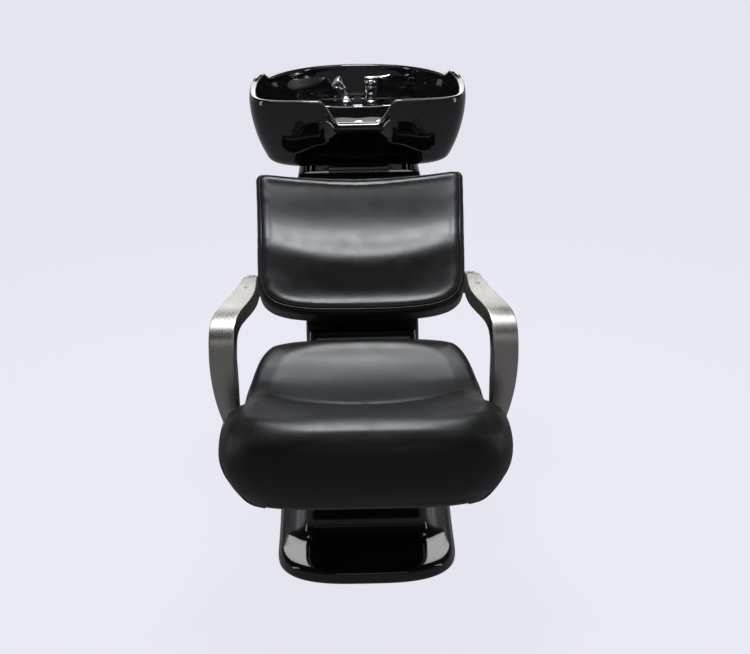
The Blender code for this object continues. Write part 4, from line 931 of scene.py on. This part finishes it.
def arm_piece(side, word):
    path, _ = spline_rows(np.array([[(y, z, x), (w, 0, 0)] for y, z, x, w in ARM_PATH]), 6)
    mid, width = path[:, 0], path[:, 1, 0]
    mid[:, 1] = np.maximum(mid[:, 1], 0.2899)
    rows, corner, h = [], 0.0019, ARM_T / 2
    walked = np.concatenate([[0], np.cumsum(np.linalg.norm(np.diff(mid[:, :2], axis=0), axis=1))])
    for i in range(len(mid)):
        a, b = mid[max(0, i - 1)], mid[min(len(mid) - 1, i + 1)]
        ty, tz = b[0] - a[0], b[1] - a[1]
        length = math.hypot(ty, tz)
        ny, nz = -tz / length, ty / length
        section = []
        hw = width[i] / 2
        for sx, sn, start in ((1, 1, 0.0), (-1, 1, 0.5), (-1, -1, 1.0), (1, -1, 1.5)):
            for j in range(6):
                turn = math.pi * (start + 0.5 * j / 5)
                section.append((sx * (hw - corner) + corner * math.cos(turn),
                                sn * (h - corner) + corner * math.sin(turn)))
        # more points across the two wide faces, so that their shading stays level
        full = []
        m = len(section)
        for j in range(m):
            full.append(section[j])
            if (j + 1) % 6 == 0:
                p, q = section[j], section[(j + 1) % m]
                for s in (0.06, 0.5, 0.94):
                    full.append((p[0] + (q[0] - p[0]) * s, p[1] + (q[1] - p[1]) * s))
        place = i / 6.0
        grow = float(smooth01((place - 2.2) / 3.0) * (1.0 - smooth01((place - 15.5) / 5.0)))
        deep, lean = 0.0170 * grow, 0.0065 * grow
        full = [(dx - (lean * (dn / h + 1) / 2 if dx < 0 else 0.0), dn + deep * (dn / h + 1) / 2) for dx, dn in full]
        y, z, x = mid[i]
        rows.append([(side * (x + dx), y + ny * dn, z + nz * dn) for dx, dn in full])
    rows = np.array(rows)
    count, n = rows.shape[:2]
    obj = piece(f"arm_{word}_band", *rows_geo(shifted(rows)), LOOKS["brushed_steel"])
    # u across and v along, in metres
    layer = obj.data.uv_layers.new(name="band")
    across = np.array([[(np.linalg.norm(r[(k + 1) % n] - r[k])) for k in range(n)] for r in rows])
    across = np.concatenate([np.zeros((count, 1)), np.cumsum(across, axis=1)], axis=1)
    for polygon in obj.data.polygons:
        ids = list(polygon.vertices)
        cols = [v % n for v in ids if v < count * n]
        wraps = bool(cols) and max(cols) - min(cols) > n // 2
        for loop, v in zip(polygon.loop_indices, ids):
            if v >= count * n:
                layer.data[loop].uv = (0.0, walked[0 if v == count * n else -1])
                continue
            row, col = divmod(v, n)
            layer.data[loop].uv = (across[row, n if wraps and col < n // 2 else col], walked[row])
    put(obj, "pedestal", "brushed_steel", f"arm_{word}")
    weighted = obj.modifiers.new("even_faces", "WEIGHTED_NORMAL")
    weighted.weight = 80
    py, pz, px = 0.2060, 0.6255, 0.2562
    plug_rows = []
    for g, dz in ((0.0, -0.0020), (0.0, -0.0004), (0.0004, 0.0000), (0.0014, 0.0003), (0.0034, 0.0004), (0.0050, 0.0004)):
        turn = 2 * np.pi * np.arange(40) / 40
        plug_rows.append(np.stack([side * px + (0.0060 - g) * np.cos(turn), py + (0.0110 - g) * np.sin(turn),
                                   np.full(40, pz + dz)], axis=1))
    plug = piece(f"arm_plug_{word}_cap", *rows_geo(shifted(plug_rows)), LOOKS["plastic_grey"])
    put(plug, "pedestal", "plastic_grey", f"arm_plug_{word}")


arm_piece(-1, "left")
arm_piece(1, "right")

# ====================================================================== basin
RIM_Z, BASIN_C, DECK_Z, DECK_UNDER, DECK_EDGE = 0.975, (0.0, 0.790), 0.905, 0.887, 0.912
HULL_Z, BOWL_Z, DRAIN_R, LIP_OUT = 0.800, 0.832, 0.0200, 0.026
RIM_SIDE = [(0.0, 0.5730), (0.050, 0.5735), (0.100, 0.5755), (0.150, 0.5800), (0.194, 0.5880),
            (0.225, 0.6000), (0.247, 0.6190), (0.2580, 0.6450), (0.2632, 0.6800), (0.2655, 0.7200),
            (0.2637, 0.7650), (0.2567, 0.8100), (0.2465, 0.8500), (0.2330, 0.8900), (0.2143, 0.9300),
            (0.1885, 0.9700), (0.1535, 1.0060), (0.1100, 1.0350), (0.0565, 1.0530), (0.0, 1.0590)]
RIM_HEIGHT = [(0.573, 0.9750), (0.600, 0.9755), (0.640, 0.9790), (0.700, 0.9860), (0.760, 0.9950),
              (0.810, 1.0030), (0.838, 1.0060), (0.852, 1.0040), (0.866, 0.9950), (0.885, 0.9915),
              (0.940, 0.9920), (1.059, 0.9960)]
HULL = [(1.000, 0.00), (0.9995, 0.08), (0.985, 0.24), (0.962, 0.38), (0.925, 0.52), (0.872, 0.66),
        (0.805, 0.79), (0.725, 0.895), (0.640, 0.962), (0.560, 0.992)]
HULL_FULL = [1.000, 0.9995, 0.989, 0.970, 0.946, 0.914, 0.876, 0.834, 0.740, 0.600]
BOWL = [(0.936, 0.05), (0.918, 0.22), (0.895, 0.42), (0.860, 0.60), (0.805, 0.75), (0.725, 0.86),
        (0.610, 0.925), (0.470, 0.960), (0.320, 0.982), (0.200, 0.995)]
BASIN_N = 320
rim = smooth_outline(RIM_SIDE, BASIN_N)
px, py = rim[:, 0], rim[:, 1]
bcx0, bcy0 = BASIN_C


def notch_at(x):
    return 1.0 - smooth01((np.abs(x) - 0.046) / 0.052)


FRONT = np.where(py < 0.62, notch_at(px), 0.0)
TOP = curve_at(RIM_HEIGHT, py) - np.where(py < 0.62, 0.050 * notch_at(px), 0.0)


def basin_outer(scale, f):
    top = TOP - 0.006
    base = np.where(py < 0.80, RIM_Z, curve_at(RIM_HEIGHT, py))
    z = base - 0.006 - (base - 0.006 - HULL_Z) * f
    if f < 0.12:
        z = np.minimum(z, top - 0.010 * f * 8)
    z = z + (top - (top - HULL_Z) * f - z) * FRONT
    rear = smooth01((py - 0.86) / 0.12)
    own = scale + (HULL_FULL[HULL.index((scale, f))] - scale) * smooth01((np.abs(px) - 0.10) / 0.10)
    own = own + (1.0 - own) * 0.50 * rear
    x, y = bcx0 + (px - bcx0) * own, bcy0 + (py - bcy0) * own
    y = y - LIP_OUT * FRONT * np.exp(-((z - 0.910) / 0.024) ** 2)
    return np.stack([x, y, np.maximum(z, HULL_Z)], axis=1)


def basin_inner(k, scale, f):
    top = TOP - 0.006
    z = top - (top - BOWL_Z) * f
    x, y = bcx0 + (px - bcx0) * scale, bcy0 + (py - bcy0) * scale
    y = y - 0.004 * FRONT * (1 - f)
    share = smooth01((py - 0.885) / 0.060)
    deck = DECK_Z + 0.005 * smooth01(np.abs(px) / 0.20)
    edge = DECK_EDGE + 0.014 * (1 - smooth01(np.abs(px) / 0.16))
    reach = (edge - bcy0) / np.where(share > 0, py - bcy0, 1.0)
    table = [(0.936, top - 0.010), (0.918, deck + 0.035), (0.900, deck + 0.008), (0.880, deck),
             (np.minimum(0.87, reach + 0.08), deck), (np.minimum(0.86, reach + 0.025), deck - 0.0012),
             (np.minimum(0.84, reach), deck - 0.0085), (np.minimum(0.80, reach - 0.05), deck - 0.034),
             (np.minimum(0.66, reach - 0.17), deck - 0.058), (0.22, BOWL_Z + 0.0010)]
    own, zd = table[k]
    x = x + (bcx0 + (px - bcx0) * own - x) * share
    y = y + (bcy0 + (py - bcy0) * own - y) * share
    z = z + (zd - z) * share
    return np.stack([x, y, z], axis=1)


def basin_cap(scale, rise):
    x, y = bcx0 + (px - bcx0) * scale, bcy0 + (py - bcy0) * scale
    y = y - ((LIP_OUT * 0.80 * (scale - 0.936) / 0.064) * FRONT + 0.004 * FRONT * (1 - (scale - 0.936) / 0.064))
    return np.stack([x, y, TOP + rise], axis=1)


turn = -np.pi / 2 + 2 * np.pi * np.arange(BASIN_N) / BASIN_N


def disc(r, z):
    return np.stack([bcx0 + r * np.cos(turn), bcy0 + r * np.sin(turn), np.full(BASIN_N, z)], axis=1)


def scaled_rim(scale, z):
    return np.stack([bcx0 + (px - bcx0) * scale, bcy0 + (py - bcy0) * scale, np.full(BASIN_N, z)], axis=1)


control = [disc(DRAIN_R, HULL_Z), disc(DRAIN_R + 0.004, HULL_Z), scaled_rim(0.30, HULL_Z), scaled_rim(0.52, HULL_Z)]
control += [basin_outer(s, f) for s, f in reversed(HULL)]
hull_end = len(control)
control += [basin_cap(0.992, -0.0015), basin_cap(0.974, 0.0), basin_cap(0.953, -0.0008), basin_cap(0.940, -0.0035)]
control += [basin_inner(k, s, f) for k, (s, f) in enumerate(BOWL)]
control += [disc(0.036, BOWL_Z), disc(DRAIN_R + 0.004, BOWL_Z), disc(DRAIN_R, BOWL_Z)]
steps = [1, 2, 2, 2] + [4] * (len(HULL) - 1) + [4] * 4 + [4] * len(BOWL) + [3, 2]
basin_rows, _ = spline_rows(control, steps[:len(control) - 1] + [2] * max(0, len(control) - 1 - len(steps)))
basin_rows[:, :, 2] = np.maximum(basin_rows[:, :, 2], HULL_Z)
verts, faces = rows_geo(shifted(basin_rows), False, False)
last = (len(basin_rows) - 1) * BASIN_N
faces += [(last + i, last + (i + 1) % BASIN_N, (i + 1) % BASIN_N, i) for i in range(BASIN_N)]
basin = piece("basin_glaze", verts, faces, LOOKS["glazed_black"])
hollow = [(0.105, 0.946), (0.105, 0.985), (0.085, 1.000), (-0.085, 1.000), (-0.105, 0.985), (-0.105, 0.946)]
cut(basin, helper("cut_deck_hollow", *rows_geo(shifted([[(x, y, z) for x, y in hollow] for z in (0.76, DECK_UNDER)]))),
    "hollow")
apply_modifiers(basin)
put(basin, "basin_unit", "glazed_black", "basin")


# ====================================================================== fittings
def turned(name, profile, at, mat, body, slot, nodes, direction=(0, 0, 1), n=64, r=0.0006):
    verts, faces = lathe_geo(fillet(profile, r), n)
    obj = piece(name, shifted(placed(verts, along(at, direction))), faces, LOOKS[mat])
    return put(obj, body, slot, *nodes)


def ring_piece(name, outer, inner, at, mat, body, slot, nodes, n=64, r=0.0005):
    verts, faces = tube_geo(fillet(outer, r), fillet(inner, r), n)
    obj = piece(name, shifted(placed(verts, Matrix.Translation(Vector(at)))), faces, LOOKS[mat])
    return put(obj, body, slot, *nodes)


MIX, SHW = (0.036, 0.972), (-0.030, 0.972)
mx, my = MIX
sx, sy = SHW
cx, cy = BASIN_C
CAP_Z = DECK_Z + 0.0433
LEVER_Z = CAP_Z + 0.0192
ring_piece("waste_flange_ring",
           [(0.0194, 0.765), (0.0194, BOWL_Z + GAP), (0.0315, BOWL_Z + GAP), (0.0320, BOWL_Z + 0.0016),
            (0.0290, BOWL_Z + 0.0030)],
           [(0.0165, 0.765), (0.0165, BOWL_Z - 0.0030), (0.0205, BOWL_Z - 0.0005), (0.0240, BOWL_Z + 0.0018)],
           (cx, cy, 0), "chrome", "basin_unit", "chrome", ["waste_flange"])
strainer_profile = [(0, BOWL_Z - 0.0010), (0.0150, BOWL_Z - 0.0010), (0.0196, BOWL_Z + 0.0022),
                    (0.0196, BOWL_Z + 0.0032), (0.0140, BOWL_Z + 0.0040), (0.0060, BOWL_Z + 0.0046),
                    (0.0045, BOWL_Z + 0.0060), (0.0050, BOWL_Z + 0.0110), (0.0030, BOWL_Z + 0.0125),
                    (0, BOWL_Z + 0.0125)]
strainer_profile = [(r * 0.985, z + 0.0006) for r, z in strainer_profile]
strainer = turned("hair_strainer_disc", strainer_profile, (cx, cy, 0), "chrome", "hair_strainer", "chrome",
                  ["hair_strainer"], n=72, r=0.0004)
pins = []
for count, reach, start in ((8, 0.0092, 0.0), (14, 0.0140, 0.2)):
    for k in range(count):
        a = start + 2 * math.pi * k / count
        pins.append((cx + reach * math.cos(a), cy + reach * math.sin(a)))
pin_verts, pin_faces = [], []
for x, y in pins:
    v, f = lathe_geo([(0, BOWL_Z - 0.004), (0.0012, BOWL_Z - 0.004), (0.0012, BOWL_Z + 0.009), (0, BOWL_Z + 0.009)], 10)
    base = len(pin_verts)
    pin_verts += [(p[0] + x, p[1] + y, p[2]) for p in v]
    pin_faces += [tuple(base + i for i in face) for face in f]
cut(strainer, helper("cut_strainer", shifted(pin_verts), pin_faces), "holes")
apply_modifiers(strainer)

ring_piece("mixer_flange_ring", [(0.0210, DECK_Z + 0.0045), (0.0210, DECK_Z + 0.0062), (0.0190, DECK_Z + 0.0080)],
           [(0.0137, DECK_Z + 0.0045), (0.0137, DECK_Z + 0.0080)], (mx, my, 0), "chrome", "basin_unit", "chrome",
           ["mixer_flange"])
turned("mixer_column", [(0, 0.8620), (0.0118, 0.8620), (0.0133, 0.8635), (0.0133, DECK_Z + 0.0084),
                        (0.0172, DECK_Z + 0.0084), (0.0168, DECK_Z + 0.0120), (0.0160, DECK_Z + 0.0200),
                        (0.0162, DECK_Z + 0.0270), (0.0167, DECK_Z + 0.0340), (0.0178, DECK_Z + 0.0390),
                        (0.0178, DECK_Z + 0.0430), (0, DECK_Z + 0.0430)], (mx, my, 0), "chrome", "basin_unit",
       "chrome", ["mixer_body"], r=0.0012)
turned("mixer_dome", [(0, CAP_Z), (0.0180, CAP_Z), (0.0188, CAP_Z + 0.0012), (0.0188, CAP_Z + 0.0115),
                      (0.0172, CAP_Z + 0.0163), (0.0120, CAP_Z + 0.0184), (0, CAP_Z + 0.0188)],
       (mx, my, 0), "chrome", "mixer_cap", "chrome", ["mixer_cap"], r=0.0014)
lever_rows = []
for s, hw, h, up in ((-0.0165, 0.0040, 0.0026, 0.0), (-0.0158, 0.0078, 0.0046, 0.0), (-0.0120, 0.0112, 0.0060, 0.0),
                     (-0.0060, 0.0130, 0.0066, 0.0), (0.0060, 0.0130, 0.0068, 0.0),
                     (0.0150, 0.0105, 0.0062, 0.0006), (0.0260, 0.0076, 0.0048, 0.0022),
                     (0.0380, 0.0066, 0.0040, 0.0046), (0.0475, 0.0063, 0.0038, 0.0067),
                     (0.0502, 0.0052, 0.0030, 0.0075), (0.0510, 0.0030, 0.0020, 0.0080)):
    row = []
    for j in range(28):
        a = 2 * math.pi * j / 28
        c, d = math.cos(a), math.sin(a)
        c, d = math.copysign(abs(c) ** 0.6, c), math.copysign(abs(d) ** 0.8, d)
        row.append((mx + s, my + hw * c, max(LEVER_Z + up + h * 0.5 + h * 0.5 * d, LEVER_Z)))
    lever_rows.append(row)
lever_rows, _ = spline_rows(lever_rows, 3)
lever_rows[:, :, 2] = np.maximum(lever_rows[:, :, 2], LEVER_Z)
put(piece("mixer_lever_handle", *rows_geo(shifted(lever_rows)), LOOKS["chrome"]), "mixer_lever", "chrome", "mixer_lever")

ring_piece("shower_holder_sleeve",
           [(0.0124, 0.8640), (0.0124, DECK_Z + 0.0045), (0.0165, DECK_Z + 0.0045),
            (0.0165, DECK_Z + 0.0062), (0.0146, DECK_Z + 0.0085), (0.0138, DECK_Z + 0.0150)],
           [(0.0100, 0.8640), (0.0100, DECK_Z + 0.0130), (0.0112, DECK_Z + 0.0150)], (sx, sy, 0), "chrome",
           "basin_unit", "chrome", ["shower_holder"])
neck = [((sx, sy, 0.8450), 0.0085), ((sx, sy, 0.8460), 0.0094), ((sx, sy, DECK_Z + 0.0150), 0.0094),
        ((sx, sy, DECK_Z + 0.0154), 0.0098), ((sx, sy, DECK_Z + 0.0157), 0.0124),
        ((sx, sy, DECK_Z + 0.0175), 0.0126), ((sx, sy, DECK_Z + 0.0186), 0.0112),
        ((sx, sy, DECK_Z + 0.0200), 0.0087), ((sx - 0.0010, sy, DECK_Z + 0.0280), 0.0080),
        ((sx - 0.0050, sy - 0.0005, DECK_Z + 0.0375), 0.0084),
        ((sx - 0.0105, sy - 0.0010, DECK_Z + 0.0445), 0.0100),
        ((sx - 0.0150, sy - 0.0015, DECK_Z + 0.0480), 0.0128)]
handle_rows = []
for i, (p, r) in enumerate(neck):
    a, b = Vector(neck[max(0, i - 1)][0]), Vector(neck[min(len(neck) - 1, i + 1)][0])
    ring = [(r * math.cos(2 * math.pi * j / 48), r * math.sin(2 * math.pi * j / 48), 0) for j in range(48)]
    handle_rows.append(placed(ring, along(p, b - a)))
handle_rows, _ = spline_rows(handle_rows, [2, 1, 1, 1, 3, 2, 2, 5, 5, 5, 4])
put(piece("shower_handle_body", *rows_geo(shifted(handle_rows)), LOOKS["chrome"]), "hand_shower", "chrome",
    "shower_handle")
end = Vector(neck[-1][0])
tip = (Vector(neck[-1][0]) - Vector(neck[-2][0])).normalized()
turned("shower_head_shell", [(0, 0.0003), (0.0125, 0.0003), (0.0155, 0.0030), (0.0170, 0.0080),
                             (0.0172, 0.0130), (0.0165, 0.0142), (0, 0.0142)], end, "chrome", "hand_shower",
       "chrome", ["shower_head"], direction=tip, r=0.0010)
turned("spray_face_plate", [(0, 0.0), (0.0150, 0.0), (0.0150, 0.0010), (0.0138, 0.0017), (0, 0.0018)],
       end + tip * 0.0145, "plastic_grey", "hand_shower", "plastic_grey", ["spray_face"], direction=tip)
nozzle_verts, nozzle_faces = [], []
matrix = along(end + tip * 0.0145, tip)
for count, reach in ((1, 0.0), (6, 0.0040), (12, 0.0080), (18, 0.0118)):
    for k in range(count):
        a = 2 * math.pi * k / count
        v, f = lathe_geo([(0, 0.0012), (0.00075, 0.0012), (0.00060, 0.0022), (0.0003, 0.0024), (0, 0.0024)], 8)
        base = len(nozzle_verts)
        nozzle_verts += [(p[0] + reach * math.cos(a), p[1] + reach * math.sin(a), p[2]) for p in v]
        nozzle_faces += [tuple(base + i for i in face) for face in f]
put(piece("spray_nozzles", shifted(placed(nozzle_verts, matrix)), nozzle_faces, LOOKS["rubber_black"]),
    "hand_shower", "rubber_black")

# ====================================================================== CAD pieces that show as they are
for name, width in (("service_panel", 0.0010), ("deck_cover", 0.0012), ("back_bracket", 0.0015),
                    ("seat_frame", 0.0015), ("inner_frame", 0.0012), ("tilt_cradle", 0.0006),
                    ("tilt_base", 0.0006), ("back_board", 0.0010), ("seat_board", 0.0010)):
    soft_edge(name, width)

# ====================================================================== stage, light, camera
def stage_material():
    mat = bpy.data.materials.new("studio_floor")
    mat.use_nodes = True
    tree = mat.node_tree
    for node in list(tree.nodes):
        tree.nodes.remove(node)
    out = tree.nodes.new("ShaderNodeOutputMaterial")
    add = tree.nodes.new("ShaderNodeAddShader")
    mix = tree.nodes.new("ShaderNodeMixShader")
    glow = tree.nodes.new("ShaderNodeEmission")
    dim = tree.nodes.new("ShaderNodeEmission")
    matte = tree.nodes.new("ShaderNodeBsdfDiffuse")
    path = tree.nodes.new("ShaderNodeLightPath")
    glow.inputs["Color"].default_value = (0.815, 0.815, 0.905, 1)
    glow.inputs["Strength"].default_value = 0.95
    dim.inputs["Color"].default_value = (0.80, 0.80, 0.84, 1)
    dim.inputs["Strength"].default_value = 0.24
    matte.inputs["Color"].default_value = (0.05, 0.05, 0.055, 1)
    tree.links.new(path.outputs["Is Camera Ray"], mix.inputs[0])
    tree.links.new(dim.outputs[0], mix.inputs[1])
    tree.links.new(glow.outputs[0], mix.inputs[2])
    tree.links.new(mix.outputs[0], add.inputs[0])
    tree.links.new(matte.outputs[0], add.inputs[1])
    tree.links.new(add.outputs[0], out.inputs["Surface"])
    return mat


floor_mesh = bpy.data.meshes.new("studio_floor")
floor_mesh.from_pydata([(-60, -40, 0), (60, -40, 0), (60, 80, 0), (-60, 80, 0)], [], [(0, 1, 2, 3)])
floor = bpy.data.objects.new("studio_floor", floor_mesh)
SCENE.collection.objects.link(floor)
floor_mesh.materials.append(stage_material())

world = bpy.data.worlds.new("studio")
SCENE.world = world
world.use_nodes = True
tree = world.node_tree
background = tree.nodes["Background"]
coord = tree.nodes.new("ShaderNodeTexCoord")
split = tree.nodes.new("ShaderNodeSeparateXYZ")
tree.links.new(coord.outputs["Generated"], split.inputs[0])


def world_range(source, start, stop, low, high, smooth=True):
    node = tree.nodes.new("ShaderNodeMapRange")
    node.interpolation_type = "SMOOTHSTEP" if smooth else "LINEAR"
    tree.links.new(source, node.inputs["Value"])
    for key, value in (("From Min", start), ("From Max", stop), ("To Min", low), ("To Max", high)):
        node.inputs[key].default_value = value
    return node.outputs["Result"]


def world_math(how, a, b):
    node = tree.nodes.new("ShaderNodeMath")
    node.operation = how
    for k, value in enumerate((a, b)):
        if isinstance(value, (int, float)):
            node.inputs[k].default_value = value
        else:
            tree.links.new(value, node.inputs[k])
    return node.outputs[0]


# pale all round the horizon and brighter behind the object, darker overhead
low_band = world_range(split.outputs["Z"], 0.05, 0.55, 1.0, 0.0)
behind = world_range(split.outputs["Y"], -0.2, 0.9, 0.0, 1.0)
strength = world_math("ADD", 0.035, world_math("MULTIPLY", low_band, world_math("ADD", 0.17, world_math("MULTIPLY", behind, 0.20))))
background.inputs["Color"].default_value = (0.93, 0.95, 1.0, 1)
tree.links.new(strength, background.inputs["Strength"])


def lamp(name, at, target, size, power, color=(1, 1, 1)):
    data = bpy.data.lights.new(name, "AREA")
    data.shape = "RECTANGLE"
    data.size, data.size_y = size
    data.energy = power
    data.color = color
    obj = bpy.data.objects.new(name, data)
    SCENE.collection.objects.link(obj)
    obj.location = at
    obj.rotation_euler = (Vector(target) - Vector(at)).to_track_quat("-Z", "Y").to_euler()
    return obj


lamp("key", (-0.05, 0.34, 2.75), (0.0, 0.20, 0.5), (0.60, 0.34), 42, (0.93, 0.965, 1.0))
lamp("overhead", (0.0, 0.05, 2.90), (0.0, 0.05, 0.0), (2.4, 1.20), 30, (0.95, 0.975, 1.0))
lamp("front_fill", (0.3, -3.6, 2.5), (0.0, 0.0, 0.5), (2.4, 1.2), 5, (1.0, 0.99, 0.97))
lamp("side_left", (-2.6, -0.4, 1.3), (0.0, 0.1, 0.6), (0.35, 1.8), 7)
lamp("side_right", (2.6, -0.4, 1.3), (0.0, 0.1, 0.6), (0.35, 1.8), 7)
lamp("rear", (0.0, 3.0, 2.0), (0.0, 0.2, 0.6), (1.8, 0.8), 12)

camera_data = bpy.data.cameras.new("camera")
camera_data.lens = 74.93
camera_data.sensor_width = 36.0
camera = bpy.data.objects.new("camera", camera_data)
SCENE.collection.objects.link(camera)
PITCH, YAW, ROLL = math.radians(17.448), math.radians(0.790), math.radians(0.865)
look = Vector((math.sin(YAW) * math.cos(PITCH), math.cos(YAW) * math.cos(PITCH), -math.sin(PITCH)))
camera.location = (-0.0185, -3.5022, 1.5721)
camera.rotation_mode = "QUATERNION"
camera.rotation_quaternion = look.to_track_quat("-Z", "Y") @ Matrix.Rotation(-ROLL, 3, "Z").to_quaternion()
SCENE.camera = camera
SCENE.view_settings.view_transform = "Standard"
SCENE.view_settings.look = "None"
